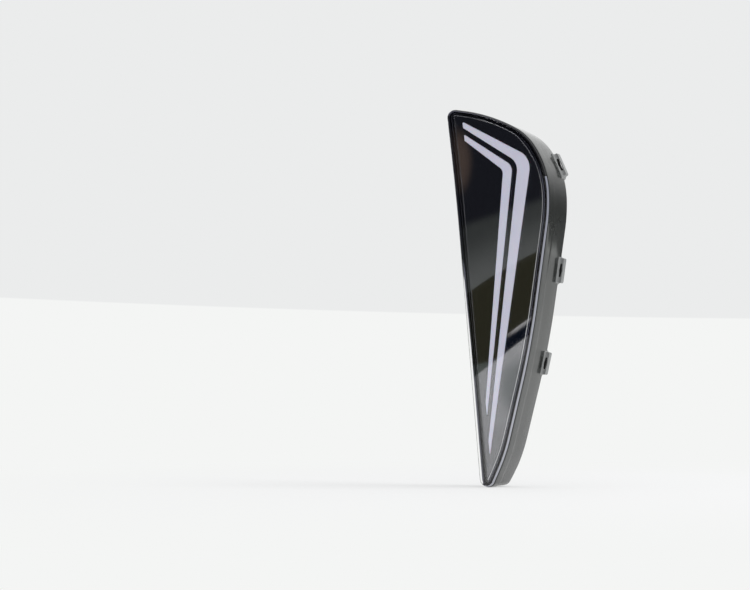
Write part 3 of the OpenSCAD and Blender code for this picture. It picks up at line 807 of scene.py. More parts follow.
@dataclass(frozen=True)
class ScrewBoss(Upright):
    """A rear boss with its screw hole."""

    pilot: float = 1.7
    pilot_depth: float = 12.0

    def end(self) -> Profile:
        """The rounded mouth of the screw hole, and its wall down to a blunt cone."""
        r, top, bottom = self.pilot, self.seat, self.seat - self.pilot_depth
        return [(r + 0.5, top, 0), (r + 0.2, top - 0.1, 0), (r, top - 0.4, 0), (r, bottom, 0),
                (r / 2, bottom - 0.5, 0)]


@dataclass(frozen=True)
class LocatingPin(Upright):
    """A stepped pin that finds the hole in the bumper."""

    x: float = -14.0
    z: float = 318.6
    first_gusset: float = 0.5
    pin_r: float = 3.0
    pin_end: float = 51.0

    def end(self) -> Profile:
        """The seat, and the pin with its rounded end."""
        r, end = self.pin_r, self.pin_end
        return [(r + 0.3, self.seat, 0), (r, self.seat + 0.3, 0), (r, end - 1.2, 0),
                (r - 0.25, end - 0.6, 0), (r - 0.8, end - 0.12, 0), (r - 1.4, end, 0)]


@dataclass(frozen=True)
class VentTube:
    """The breather tube under the vent cap."""

    r: float = 5.0
    hole: float = 2.0
    top: float = 42.0

    def add(self, skin: Skin) -> Array:
        """Adds the tube and returns the ring in which it meets the rear wall."""
        profile = foot(self.r, 0.6, 3) + [
            (self.r, self.top - 0.4, 0), (self.r - 0.4, self.top, 0), (self.hole + 0.2, self.top, 0),
            (self.hole, self.top - 0.2, 0), (self.hole, -REAR_WALL, 1)]
        return skin.grid(revolve(*VENT, profile))[0]


@dataclass(frozen=True)
class SocketSeat:
    """The raised pad that carries the inlet, with its opening through the rear wall."""

    pad: Triple = (32.0, 24.0, 3.0)
    hole: Triple = (21.6, 13.6, 2.2)
    top: float = 40.0

    def add(self, skin: Skin) -> Array:
        """Adds the pad, with a rounded foot, and its opening.

        Args:
            skin: Skin that takes it.

        Returns:
            The point numbers of the ring in which it meets the rear wall.
        """
        pad, hole = (box_outline(*INLET, *size) for size in (self.pad, self.hole))
        foot_rows = stations([(-0.8, 0.0), (-0.5, -0.06), (-0.2, -0.25), (0.0, -0.8)], Measured.REAR)
        rim = stations([(0.0, self.top - 0.4), (0.12, self.top - 0.12), (0.4, self.top)])
        mouth = stations([(-0.3, self.top), (0.0, self.top - 0.3)])
        outer = skin.grid(pad.rings(foot_rows + rim))
        inner = skin.grid(hole.rings(mouth + [Station(0.0, REAR_WALL, Measured.REAR)]))
        skin.cap([outer[-1], inner[0]], flip=True)
        return outer[0]


class HousingSlot(IntEnum):
    """Material slots of the housing."""

    WALL = 0
    LOOP_FACE = 1
    LOOP_SLOT = 2
    REAR = 3


@dataclass(frozen=True)
class SnapLoop:
    """A loop on the curved side that snaps over a barb in the bumper.

    Its plan counts from the side wall: outwards, and along the wall from the loop's middle.
    """

    x: float
    z: float
    slope: float
    length: float = 22.5
    out: float = 4.5
    slot_l: float = 11.5
    slot_w: float = 1.8
    slot_r: float = 0.6
    rim: float = 1.1
    from_rear: float = 5.0
    thick: float = 5.0
    root: float = -2.3
    neck: float = 0.9
    flare: float = 2.6
    corner_r: float = 1.2
    edge_r: float = 0.3
    hollow: float = 2.2
    rear_hollow: float = 0.3
    plate_steps: Pair = (0.3, 0.8)
    rays: int = 120
    edge_steps: int = 5
    flat_steps: int = 8

    def plate(self) -> Outline:
        """Draws the outer edge: a plate with rounded corners that flares where it runs into the wall.

        Returns:
            The outline, as out of the wall and along it.
        """
        half, foot_r = self.length / 2, 0.4
        places = ((self.out, -half, self.corner_r), (self.out, half, self.corner_r),
                  (self.neck, half, self.corner_r), (self.root, half + self.flare, foot_r),
                  (self.root, -half - self.flare, foot_r), (self.neck, -half, self.corner_r))
        return Outline(tuple(Corner(*place) for place in places), *self.plate_steps)

    def add(self, skin: Skin) -> None:
        """Adds the loop as one closed band round its slot.

        A ray from the middle of the slot meets the slot's edge and the outer edge. The band's section runs
        from the one to the other along the front and back along the rear, with quarter rounds at both edges.
        The band thickens by a hollow rounding where it comes near the side wall.

        Args:
            skin: Skin that takes it.
        """
        middle = (self.out - self.rim - self.slot_w / 2, 0.0)
        opening = box_outline(middle[0], 0.0, self.slot_w, self.slot_l, self.slot_r)
        inner, outer = opening.about(middle, self.rays), self.plate().about(middle, self.rays)
        gap = np.linalg.norm(outer - inner, axis=1)
        way = (outer - inner) / gap[:, None]
        r, n, m = self.edge_r, self.edge_steps, self.flat_steps
        t, flat = np.linspace(0.0, QUARTER, n), np.zeros(m)
        share = np.concatenate([np.zeros(n), np.arange(1, m + 1) / (m + 1), np.ones(n)])
        shift = np.concatenate([r * (1 - np.cos(t)), flat, -r * (1 - np.cos(t[::-1]))])
        depths = np.concatenate([r * (1 - np.sin(t)), flat, r * (1 - np.sin(t[::-1]))])[:, None]
        flats = inner + way * (share[:, None] * gap + shift[:, None])[..., None]
        f = self.hollow
        swell = f - np.clip(flats[..., 0], 0.0, f)
        hollow = f - np.sqrt(np.maximum(0.0, f * f - swell ** 2))
        start = float(rear_depth(self.z)) - self.from_rear
        front = start + depths - hollow
        rear = start + self.thick - depths + hollow * self.rear_hollow
        cos, sin = math.cos(math.radians(self.slope)), math.sin(math.radians(self.slope))
        out_way, along = np.array([sin, -cos]), np.array([cos, sin])
        plan = np.array([self.x, self.z]) + flats[..., :1] * out_way + flats[..., 1:] * along
        face = np.stack([plan[..., 0], front, plan[..., 1]], 2)
        back = np.stack([plan[..., 0], rear, plan[..., 1]], 2)[::-1]
        band = np.concatenate([face, back])
        # Painted light on the loop's face, painted shade on the rows that round into its slot
        slots = np.full(len(band), HousingSlot.LOOP_FACE)
        slots[:n - 1] = slots[-n:] = HousingSlot.LOOP_SLOT
        skin.grid(band, slots[:, None], closed=True)


LENS_OUTLINE = Outline((
    Corner(63.9, 241.3, 150), Corner(63.9, 278.5, 85), Corner(42.2, 313.2, 60), Corner(3.7, 335.2, 180),
    Corner(-39.8, 345.6, 6.5), Corner(-29.8, 264.0, 2500), Corner(-4.4, -19.1, 7.2), Corner(19.4, 29.4, 150),
    Corner(45.4, 125.3, 700)))
LOOPS = (SnapLoop(40.56, 110.3, 76.4, length=20.5, slot_l=10.0), SnapLoop(55.99, 193.0, 80.9),
         SnapLoop(56.78, 288.0, 114.0, out=3.7))
BOSSES = (ScrewBoss(12.0, 90.0), ScrewBoss(12.0, 250.0))


@dataclass
class Housing:
    """The deep moulded shell: collar, side wall, rear wall, snap loops, bosses, pin and inlet seat.

    The fields that end in straight are further insets on the straight side.
    """

    outline: Outline = LENS_OUTLINE
    inner: float = 2.9
    groove: float = 1.7
    collar: float = 0.47
    side: float = 0.2
    rear_r: float = 2.6
    groove_straight: float = 1.1
    collar_straight: float = 1.85
    step_straight: float = 0.6
    side_straight: float = 0.4

    def profile(self) -> list[Station]:
        """Lists the stations of the wall from the inner floor, over the rim, round to the rear wall.

        Returns:
            The stations.
        """
        a, b, r = self.inner, self.groove, self.rear_r
        rows = stations([(a + 1.2, REAR_WALL), (a + 0.35, 2.65), (a, 3.5)], Measured.REAR)
        groove = [(a, 12.0), (a, 8.7), (2.7, 8.5), (1.9, 8.5), (b, 8.3), (b, 3.5)]
        collar = arc(1.3, 3.4, 0.4, 0, -90, 3) + arc(0.0, 3.5, self.collar, -90, -180, 5)
        collar += [(-self.collar, 6.4), (-self.collar, 12.1)]
        step = arc(-0.07, 12.2, 0.4, 180, 90, 3) + arc(-0.05, 12.85, 0.25, 270, 360, 3)
        rows += stations(groove, straight=self.groove_straight)
        rows += stations(collar, straight=self.collar_straight)
        rows += stations(step, straight=self.step_straight)
        rows += stations([(self.side, 16.0), (self.side, 24.0)], straight=self.side_straight)
        edge = [(self.side + r * (1 - math.cos(t)), r * (1 - math.sin(t)))
                for t in np.linspace(0, QUARTER, 8)]
        return rows + stations(edge, Measured.REAR)

    def build(self, materials: list[Material]) -> Object:
        """Makes the shell in one piece.

        Args:
            materials: Its plastic, the same plastic painted pale grey on the face of its loops as painted
                light, painted nearly black and dull inside their slots as painted shade, and the coarser
                grain of the rear wall and what stands on it.

        Returns:
            The finished object.
        """
        skin = Skin()
        numbers = skin.grid(self.outline.rings(self.profile()))
        feet = [feature.add(skin) for feature in (*BOSSES, LocatingPin(), VentTube(), SocketSeat())]
        skin.cap([numbers[-1], *feet], flip=True)
        skin.slots[1:] = [np.full(len(slots), HousingSlot.REAR) for slots in skin.slots[1:]]
        skin.cap([numbers[0]])
        for loop in LOOPS:
            loop.add(skin)
        obj = skin.make("housing_shell", materials)
        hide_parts("housing")
        return obj


@dataclass(frozen=True)
class InletShell:
    """The connector inlet: a sleeve through the rear wall, with a flange and a deep mouth."""

    sleeve: Triple = (21.2, 13.2, 2.0)
    flange: Triple = (32.0, 24.0, 3.0)
    mouth: Triple = (18.0, 10.0, 1.0)
    inner_end: float = 28.0
    floor: float = 31.0
    flange_front: float = 41.0
    rear: float = 43.0

    def build(self, material: Material) -> Object:
        """Makes the inlet, with every edge rounded.

        Args:
            material: Its plastic.

        Returns:
            The finished object.
        """
        skin = Skin()
        sizes = (self.sleeve, self.flange, self.mouth)
        sleeve, flange, mouth = (box_outline(*INLET, *size) for size in sizes)
        first, last, inner = self.flange_front, self.rear, self.inner_end
        body = skin.grid(sleeve.rings(stations([(0.3, inner), (0.0, inner + 0.3), (0.0, first)])))
        plate = skin.grid(flange.rings(stations(
            [(0.2, first), (0.0, first + 0.2)] + arc(0.6, last - 0.6, 0.6, 180, 90))))
        hole = skin.grid(mouth.rings(stations(
            arc(-0.5, last - 0.5, 0.5, 90, 0) + [(0.0, self.floor + 0.4), (0.4, self.floor)])))
        skin.cap([body[0]])
        skin.cap([plate[0], body[-1]])
        skin.cap([plate[-1], hole[0]], flip=True)
        skin.cap([hole[-1]], flip=True)
        obj = skin.make("inlet_shell", [material])
        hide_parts("socket_shell")
        return obj


@dataclass(frozen=True)
class InletGasket:
    """The rubber gasket between the inlet's flange and its seat, with rounded edges that bulge a little."""

    outer: Triple = (31.0, 23.0, 2.5)
    inner: Triple = (21.2, 13.2, 2.0)
    front: float = 40.0
    thick: float = 1.0

    def build(self, material: Material) -> Object:
        """Makes the gasket: a half-round rim outside, a plain one inside, and two flat faces.

        Args:
            material: Its rubber.

        Returns:
            The finished object.
        """
        skin = Skin()
        outer, inner = (box_outline(*INLET, *size) for size in (self.outer, self.inner))
        r = self.thick / 2
        rim = skin.grid(outer.rings(stations(arc(r, self.front + r, r, 270, 90, 8))))
        hole = skin.grid(inner.rings(stations([(0.0, self.front + self.thick), (0.0, self.front)])))
        skin.cap([rim[0], hole[-1]])
        skin.cap([rim[-1], hole[0]], flip=True)
        obj = skin.make("inlet_gasket", [material])
        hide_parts("socket_gasket")
        return obj


@dataclass(frozen=True)
class VentCap:
    """The rubber cap over the breather tube, with four air notches at its foot."""

    r: float = 6.6
    bore: float = 5.0
    chamber: float = 4.2
    tube_top: float = 42.0
    ceiling: float = 43.2
    top: float = 44.4
    shoulder: float = 0.9
    dish: float = 0.3
    lift: float = 0.8
    notch: float = 2.0
    foot_rows: tuple[int, int] = (5, 9)
    points: int = 192

    def build(self, material: Material) -> Object:
        """Makes the cap as one turned skin.

        The section runs from the chamber's ceiling down the bore, round the foot, up the outside, over a
        rounded shoulder and into a shallow dish. At the foot each point is raised by the notch's arch
        height (1 - |s|^3)^(1/3), with s its distance from the notch's middle over half the notch's width.

        Args:
            material: Its rubber.

        Returns:
            The finished object.
        """
        low, hub = float(rear_depth(VENT[1])) + self.lift, 1.0
        inner, bore, r = self.chamber, self.bore, self.r
        section = [(hub, self.ceiling), (inner - 0.2, self.ceiling), (inner, self.ceiling - 0.2),
                   (inner, self.tube_top), (bore, self.tube_top), (bore, low + 0.25), (bore + 0.25, low),
                   (r - 0.25, low), (r, low + 0.25), (r, low + 2.6)]
        section += arc(self.r - self.shoulder, self.top - self.shoulder, self.shoulder, 0, 90)
        section += [(4.7, self.top), (4.3, self.top - 0.12), (3.9, self.top - self.dish),
                    (hub, self.top - self.dish)]
        rings = revolve(*VENT, [(*pair, 0) for pair in section], self.points)
        arm = rings[..., [0, 2]] - np.array(VENT)
        s = np.clip(np.abs(arm).min(axis=2) * 2 / self.notch, 0.0, 1.0)
        rows = slice(*self.foot_rows)
        rings[rows, :, 1] += (self.notch * (1 - s ** 3) ** (1 / 3))[rows]
        skin = Skin()
        skin.close(skin.grid(rings))
        obj = skin.make("breather_cap", [material])
        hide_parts("vent_cap")
        return obj


class LensSlot(IntEnum):
    """Material slots of the lens."""

    CLEAR = 0
    SKIRT = 1
    LIT_EDGE = 2
    BLACK_EDGE = 3


@dataclass
class Lens:
    """The clear front cover: a flat plate with a rounded edge, and a skirt behind it.

    `curved_from` is the least x of a normal on the curved side, and `lit_to` the greatest z of one on the
    edge with painted light, which starts at the row of quads `glow_from` and ends at the height `glow_top`.
    The rest of the curved side and the top edge carry painted shade.
    """

    outline: Outline = LENS_OUTLINE
    thick: float = 2.5
    edge_r: float = 2.0
    skirt_in: float = 2.0
    skirt_t: float = 1.6
    skirt_end: float = 8.0
    edge_straight: float = -0.45
    back_straight: float = 1.7
    skirt_straight: float = 1.1
    glow_top: float = 272.0
    glow_from: int = 4
    curved_from: float = -0.4
    lit_to: float = 0.75

    def build(self, materials: list[Material]) -> Object:
        """Makes the cover in one piece.

        Its edge on the curved side, up to the height `glow_top`, is painted pale as painted light, for the
        light that runs inside the sheet and leaves it there. Its skirt is the black second shot of the
        moulding.
        Above that height and along the top, the edge is painted nearly black as painted shade.

        Args:
            materials: Its clear plastic, the black of its skirt, the painted light of the lit edge, and the
                painted shade of the black edge.

        Returns:
            The finished object.
        """
        r, t, a, end = self.edge_r, self.thick, self.skirt_in, self.skirt_end
        b = a + self.skirt_t
        edge = arc(r, r, r, -90, -180, 12) + [(0.0, t - 0.2), (0.06, t - 0.06), (0.2, t)]
        back = [(0.35, t), (a - 0.3, t)]
        skirt = [(a - 0.08, t + 0.08), (a, t + 0.3), (a, end - 0.3), (a + 0.3, end), (b - 0.3, end),
                 (b, end - 0.3), (b, t + 0.5), (b + 0.15, t + 0.15), (b + 0.5, t)]
        rows = stations(edge, straight=self.edge_straight) + stations(back, straight=self.back_straight)
        rows += stations(skirt, straight=self.skirt_straight)
        flat = self.outline.ring()
        normal = outward(flat)
        curved = normal[:, 0] > self.curved_from
        lit = curved & (normal[:, 1] < self.lit_to) & (flat[:, 1] < self.glow_top)
        slots = np.full((len(rows) - 1, len(flat)), LensSlot.CLEAR)
        slots[len(edge):] = LensSlot.SKIRT
        # Painted light on the curved edge below glow_top, painted shade on the rest of the curved and top
        # edge
        slots[self.glow_from:len(edge), lit] = LensSlot.LIT_EDGE
        slots[self.glow_from:len(edge), curved & ~lit] = LensSlot.BLACK_EDGE
        skin = Skin()
        skin.close(skin.grid(self.outline.rings(rows), slots))
        obj = skin.make("lens_cover", materials, 60.0)
        obj.visible_shadow = obj.visible_diffuse = False
        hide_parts("lens")
        return obj


@dataclass
class LightBar:
    """An opal bar, flush in its window, with a rim behind the bezel."""

    name: str
    outline: Outline
    face: float = 3.3
    edge_r: float = 0.3
    bezel_back: float = 5.1
    rim: float = 0.9
    back: float = 6.6

    def build(self, material: Material) -> Object:
        """Makes the bar.

        Args:
            material: Its opal plastic.

        Returns:
            The finished object.
        """
        pairs = arc(self.edge_r, self.face + self.edge_r, self.edge_r, -90, -180, 4)
        pairs += [(0.0, self.bezel_back), (-self.rim, self.bezel_back), (-self.rim, self.back)]
        skin = Skin()
        skin.close(skin.grid(self.outline.rings(stations(pairs))))
        obj = skin.make(self.name + "_body", [material])
        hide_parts(self.name)
        return obj


BAR_STEPS = (0.6, 6.0)
OUTER_BAR = LightBar("outer_light_bar", Outline((
    Corner(46.7, 291.2, 18), Corner(-23.7, 331.7, 0.8), Corner(-23.0, 325.8, 0.8), Corner(33.3, 288.3, 14),
    Corner(1.1, 40.4, 3), Corner(2.6, 26.4, 0.4)), *BAR_STEPS))
INNER_BAR = LightBar("inner_light_bar", Outline((
    Corner(27.8, 285.8, 10), Corner(-22.2, 319.8, 0.8), Corner(-21.5, 313.9, 0.8), Corner(18.2, 282.7, 7),
    Corner(-1.5, 74.6, 3), Corner(0.0, 60.6, 0.4)), *BAR_STEPS))


class BezelSlot(IntEnum):
    """Material slots of the bezel."""

    FACE = 0
    BORDER = 1
    LINE = 2


@dataclass
class Bezel:
    """The glossy black mask: a sunk border, a fine raised line, and a face with a window for each bar.

    `line_top` and `border_top` are further insets along the top edge. The line carries a painted highlight:
    bright chrome where the x of its normal is above `bright_from`, from the row of quads `bright_row` on.
    """

    outline: Outline = LENS_OUTLINE
    border_in: float = 3.9
    face_in: float = 6.0
    face: float = 3.3
    border: float = 4.5
    thick: float = 1.8
    line_w: float = 1.0
    line_h: float = 0.35
    line_top: float = -1.7
    border_top: float = -0.2
    bright_from: float = -0.5
    bright_row: int = 5

    def build(self, materials: list[Material]) -> Object:
        """Makes the mask in one piece.

        Args:
            materials: Finishes of its face, its border, and the painted highlight of its raised line.

        Returns:
            The finished object.
        """
        a, b, half, border, face = self.face_in, self.border_in, self.line_w / 2, self.border, self.face
        bead = [(a + half + half * math.cos(t), face - self.line_h * math.sin(t))
                for t in np.linspace(0.0, math.pi, 9)]
        line = [(a + self.line_w + 0.25, face)] + bead
        step = [(a, border - 0.25), (a - 0.07, border - 0.07)]
        ledge = [(a - 0.25, border), (b + 0.3, border)]
        back = [(b, border + 0.3), (b, border + self.thick), (a + self.thick, border + self.thick),
                (a + self.thick, face + self.thick)]
        rows = stations(line + step, top=self.line_top) + stations(ledge, top=self.border_top)
        rows += stations(back)
        slots = np.full((len(rows) - 1, len(self.outline.ring())), BezelSlot.FACE)
        slots[len(line):] = BezelSlot.BORDER
        # Painted highlight: bright chrome on the raised line only where it faces right and up
        bright = outward(self.outline.ring())[:, 0] > self.bright_from
        slots[self.bright_row:len(line), bright] = BezelSlot.LINE
        skin = Skin()
        numbers = skin.grid(self.outline.rings(rows), slots)
        edge = stations([(-0.3, face), (-0.16, face + 0.04), (-0.1, face + 0.2), (-0.1, face + self.thick)])
        windows = [skin.grid(bar.outline.rings(edge), flip=True) for bar in (OUTER_BAR, INNER_BAR)]
        skin.cap([numbers[0], *(w[0] for w in windows)])
        skin.cap([numbers[-1], *(w[-1] for w in windows)], flip=True)
        obj = skin.make("bezel_mask", materials)
        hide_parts("bezel")
        return obj


@dataclass(frozen=True)
class Shade:
    """Something that the glossy face mirrors, at slopes across and down from the mirrored line of sight."""

    colour: Triple
    across: float
    down: float

    def share(self, tree: Tree, across: Node, down: Node) -> Node:
        """How much of it shows at the slopes of a direction, from 0 to 1."""
        raise NotImplementedError

    def lay(self, tree: Tree, across: Node, down: Node, under: Triple | Node) -> Node:
        """Lays it over what is mirrored so far.

        Args:
            tree: Node tree of the room.
            across: Slope across.
            down: Slope down.
            under: Colour below it.

        Returns:
            The colour with it.
        """
        share = self.share(tree, across, down)
        return tree.add("Mix", {0: share, 6: under, 7: (*self.colour, 1.0)}, data_type="RGBA")


@dataclass(frozen=True)
class Patch(Shade):
    """A soft round patch.

    Its share falls from 1 near the middle to 0 where the squares of the two distances, each over its half
    size, add up to 1.
    """

    half_width: float
    half_height: float

    def share(self, tree: Tree, across: Node, down: Node) -> Node:
        """Works out how much of the patch shows.

        Args:
            tree: Node tree of the room.
            across: Slope across.
            down: Slope down.

        Returns:
            The share, from 0 to 1.
        """
        squares = []
        sizes = ((across, self.across, self.half_width), (down, self.down, self.half_height))
        for slope, centre, half in sizes:
            away = tree.add("Math", {0: slope, 1: 1 / half, 2: -centre / half}, operation="MULTIPLY_ADD")
            squares.append(tree.add("Math", {0: away, 1: 2.0}, operation="POWER"))
        total = tree.add("Math", dict(enumerate(squares)), operation="ADD")
        return tree.add("MapRange", {"Value": total, "From Min": 1.0, "From Max": 0.1},
                        **SMOOTH)


@dataclass(frozen=True)
class Band(Shade):
    """A shade below a slanting, slightly bent edge.

    With x the slope across less the edge's own, the edge runs at down + slope x + bend x^2. `span` gives the
    slopes across between which the shade comes in, and `fade` the depths below its edge between which it
    comes in from farther down. The plain values end only a very steep band, which gets that deep in sight.
    """

    slope: float
    soft: float
    bend: float = 0.0
    span: Pair = (-9.0, -8.0)
    fade: Pair = (9.0, 8.0)

    def share(self, tree: Tree, across: Node, down: Node) -> Node:
        """Works out how much of the shade shows.

        Args:
            tree: Node tree of the room.
            across: Slope across.
            down: Slope down.

        Returns:
            The share, from 0 to 1.
        """
        x = tree.add("Math", {0: across, 1: self.across}, operation="SUBTRACT")
        rate = tree.add("Math", {0: x, 1: self.bend, 2: self.slope}, operation="MULTIPLY_ADD")
        edge = tree.add("Math", {0: x, 1: rate, 2: self.down}, operation="MULTIPLY_ADD")
        below = tree.add("Math", {0: down, 1: edge}, operation="SUBTRACT")
        ranges = ((below, -self.soft, self.soft), (across, *self.span), (below, *self.fade))
        whole, *others = (
            tree.add("MapRange", {"Value": value, "From Min": first, "From Max": last}, **SMOOTH)
            for value, first, last in ranges)
        for part in others:
            whole = tree.add("Math", {0: whole, 1: part}, operation="MULTIPLY")
        return whole


# Camera's ways to the right and forward
RIGHT = Vector((0.830, 0.557, 0.0)).normalized()
FORWARD = Vector((-0.555, 0.827, 0.0854)).normalized()
# Mirrored line of sight, and the ways across and down from it
SIGHT, ACROSS, DOWN = (-0.555, -0.827, 0.0854), (0.830, -0.557, 0.0), (-0.0476, -0.0709, -0.9963)
# Middle of what the side wall mirrors, and the camera's way up
BESIDE, UP = (0.5, 0.866, 0.0), (0.0232, 0.0156, 1.0)


@dataclass
class Studio:
    """Camera, pale table and backdrop, lamp and surroundings, in metres and linear colours.

    A name that ends in `_from` holds the two values between which something comes in: the front of the room,
    and what the side wall and the face mirror, by a direction's part along their middle; the table's fading,
    by distance; the skirting of the backdrop and the table's edge, by height.
    """

    eye: Triple = (0.6037, -1.1394, -0.1065)
    lens_mm: float = 67.2
    sensor_mm: float = 36.0
    floor_z: float = -0.1705
    table_half: float = 6.0
    fade_from: Pair = (0.15, 0.7)
    lamp_place: Triple = (0.9, 0.3, 1.4)
    lamp_size: float = 0.6
    lamp_power: float = 9.0
    skirting_from: Pair = (0.0730, 0.0742)
    edge_from: Pair = (-0.031, -0.021)
    front_from: Pair = (-0.25, -0.6)
    side_from: Pair = (0.78, 0.88)
    face_from: Pair = (0.82, 0.92)
    least_part: float = 0.05
    table_seen: Triple = (1.70, 1.75, 1.70)
    front: Triple = (0.15, 0.155, 0.165)
    dark: Triple = (0.030, 0.032, 0.042)
    shades: tuple[Shade, ...] = (
        Patch((0.19, 0.14, 0.115), 0.0575, -0.0950, 0.014, 0.028),
        Band((0.11, 0.12, 0.115), 0.0929, -0.0594, -0.342, 0.004),
        Band((0.285, 0.30, 0.285), 0.0929, -0.0357, -0.45, 0.02),
        Band((0.072, 0.070, 0.044), 0.0929, -0.0189, -0.59, 0.0006, 2.66),
        Band((1.0, 0.98, 0.96), 0.1019, 0.0225, -0.714, 0.0006, span=(0.090, 0.102)),
        Band((0.012, 0.018, 0.032), 0.1019, 0.0250, -0.714, 0.0018),
        Band((0.072, 0.070, 0.044), 0.0929, -0.0189, -0.59, 0.0006, 2.66, span=(0.0905, 0.0895)),
        Band((0.22, 0.25, 0.22), 0.0801, 0.0480, -0.2, 0.0015, span=(0.092, 0.086)),
        Band((0.98, 0.99, 0.98), 0.0893, 0.0443, -0.771, 0.0007),
        Patch((0.60, 0.63, 0.62), 0.1035, 0.0660, 0.018, 0.026),
        Band((1.5, 1.5, 1.5), 0.1230, 0.0, -200.0, 0.3, span=(0.121, 0.124)))

    def camera(self) -> None:
        """Sets the camera where the photograph was taken from."""
        data = bpy.data.cameras.new("camera")
        data.lens, data.sensor_width = self.lens_mm, self.sensor_mm
        obj = shown("camera", data)
        turn = Matrix((RIGHT, RIGHT.cross(FORWARD).normalized(), -FORWARD)).transposed()
        obj.matrix_world = Matrix.Translation(self.eye) @ turn.to_4x4()
        bpy.context.scene.camera = obj

    def table(self) -> None:
        """A pale table at the height of the tip: card that fades into the room away from the object."""
        mesh = bpy.data.meshes.new("table")
        s, z = self.table_half, self.floor_z
        mesh.from_pydata([(-s, -s, z), (s, -s, z), (s, s, z), (-s, s, z)], [], [(0, 1, 2, 3)])
        material = bpy.data.materials.new("pale_table")
        material.use_nodes = True
        tree = Tree(material.node_tree)
        card = tree.add("BsdfDiffuse", {"Color": linear("#f1f1f1")})
        glow = tree.add("Emission", {"Color": linear("#f4f5f4")})
        away = tree.add("VectorMath", {0: tree.add("TexCoord").outputs["Object"]}, operation="LENGTH")
        near, far = self.fade_from
        fade = tree.add("MapRange", {"Value": away, "From Min": near, "From Max": far, "To Min": 0.5},
                        **SMOOTH)
        share = tree.add("Math", {0: self.looked_at(tree), 1: fade}, operation="MULTIPLY")
        both = tree.add("MixShader", {0: share, 1: card, 2: glow})
        tree.add("OutputMaterial", {"Surface": both})
        mesh.materials.append(material)
        obj = shown("table", mesh)
        obj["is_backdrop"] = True

    def looked_at(self, tree: Tree) -> Node:
        """Tells the rays that look from the rays that light the object.

        Args:
            tree: Node tree that takes it.

        Returns:
            1 for camera, glossy and transmission rays, 0 for others.
        """
        path = tree.add("LightPath").outputs
        part = tree.add("Math", {0: path["Is Camera Ray"], 1: path["Is Glossy Ray"]}, operation="MAXIMUM")
        return tree.add("Math", {0: part, 1: path["Is Transmission Ray"]}, operation="MAXIMUM")

    def mirrored_face(self, tree: Tree, way: Socket) -> Node:
        """What the glossy face mirrors towards the camera.

        A direction is turned to two slopes, across and down, about the mirrored line of sight: its parts
        along two axes, over its part along that line. By these the shades are laid over the dark room.

        Args:
            tree: Node tree of the room.
            way: The direction.

        Returns:
            The colour.
        """
        ahead, *aside = (tree.add("VectorMath", {0: way, 1: axis}, operation="DOT_PRODUCT")
                         for axis in (SIGHT, ACROSS, DOWN))
        depth = tree.add("Math", {0: ahead, 1: self.least_part}, operation="MAXIMUM")
        across, down = (tree.add("Math", {0: part, 1: depth}, operation="DIVIDE") for part in aside)
        seen = (*self.dark, 1.0)
        for shade in self.shades:
            seen = shade.lay(tree, across, down, seen)
        return seen

    def mirrored_side(self, tree: Tree, height: Socket) -> Node:
        """What the side wall mirrors.

        It is told by a direction's height h: dark at the horizon, then lighter as 0.02 + 5 h^2 up to 0.85,
        and a pale table below.

        Args:
            tree: Node tree of the room.
            height: The height.

        Returns:
            The colour.
        """
        square = tree.add("Math", {0: height, 1: height}, operation="MULTIPLY")
        clear = tree.add("Math", {0: square, 1: 5.0, 2: 0.02}, operation="MULTIPLY_ADD")
        room = tree.add("Math", {0: clear, 1: 0.85}, operation="MINIMUM")
        first, last = self.edge_from
        over = tree.add("MapRange", {"Value": height, "From Min": first, "From Max": last})
        return tree.add("Mix", {0: over, 6: (*self.table_seen, 1.0), 7: room}, data_type="RGBA")

    def surroundings(self) -> None:
        """A pale room, with a darker side behind the camera that shows in the glossy face as soft bands.

        The room is dim all along the front. Its sectors are mirrored only, so that the backdrop stays pale
        from every side.
        """
        world = bpy.data.worlds.new("room")
        bpy.context.scene.world = world
        world.use_nodes = True
        tree = Tree(world.node_tree)
        way = tree.add("TexCoord").outputs["Generated"]
        _, ahead, height = tree.add("SeparateXYZ", {0: way}).outputs
        sight, beside, up = (tree.add("VectorMath", {0: way, 1: axis}, operation="DOT_PRODUCT")
                             for axis in (SIGHT, BESIDE, UP))
        first, last = self.skirting_from
        rise = tree.add("MapRange", {"Value": up, "From Min": first, "From Max": last},
                        **SMOOTH)
        seen = tree.add("Mix", {0: rise, 6: linear("#f4f5f4"), 7: linear("#ebecec")}, data_type="RGBA")
        glossy = tree.add("LightPath").outputs["Is Glossy Ray"]
        for part, (first, last), shade in ((ahead, self.front_from, (*self.front, 1.0)),
                                           (beside, self.side_from, self.mirrored_side(tree, height)),
                                           (sight, self.face_from, self.mirrored_face(tree, way))):
            within = tree.add("MapRange", {"Value": part, "From Min": first, "From Max": last},
                              **SMOOTH)
            share = tree.add("Math", {0: within, 1: glossy}, operation="MULTIPLY")
            seen = tree.add("Mix", {0: share, 6: seen, 7: shade}, data_type="RGBA")
        plain = tree.add("Background", {"Color": linear("#f2f2f4"), "Strength": 0.95})
        shown = tree.add("Background", {"Color": seen, "Strength": 1.0})
        both = tree.add("MixShader", {0: self.looked_at(tree), 1: plain, 2: shown})
        tree.add("OutputWorld", {"Surface": both})

    def lamp(self) -> None:
        """Adds a soft square lamp that faces the object."""
        data = bpy.data.lights.new("ceiling_lamp", "AREA")
        data.size, data.energy = self.lamp_size, self.lamp_power
        obj = shown("ceiling_lamp", data)
        obj.visible_glossy = False
        obj.location = self.lamp_place
        obj.rotation_euler = (-Vector(self.lamp_place)).to_track_quat("-Z", "Y").to_euler()

    def build(self) -> None:
        """Sets up the whole studio."""
        self.camera()
        self.table()
        self.surroundings()
        self.lamp()
        bpy.context.scene.view_settings.view_transform = "Standard"


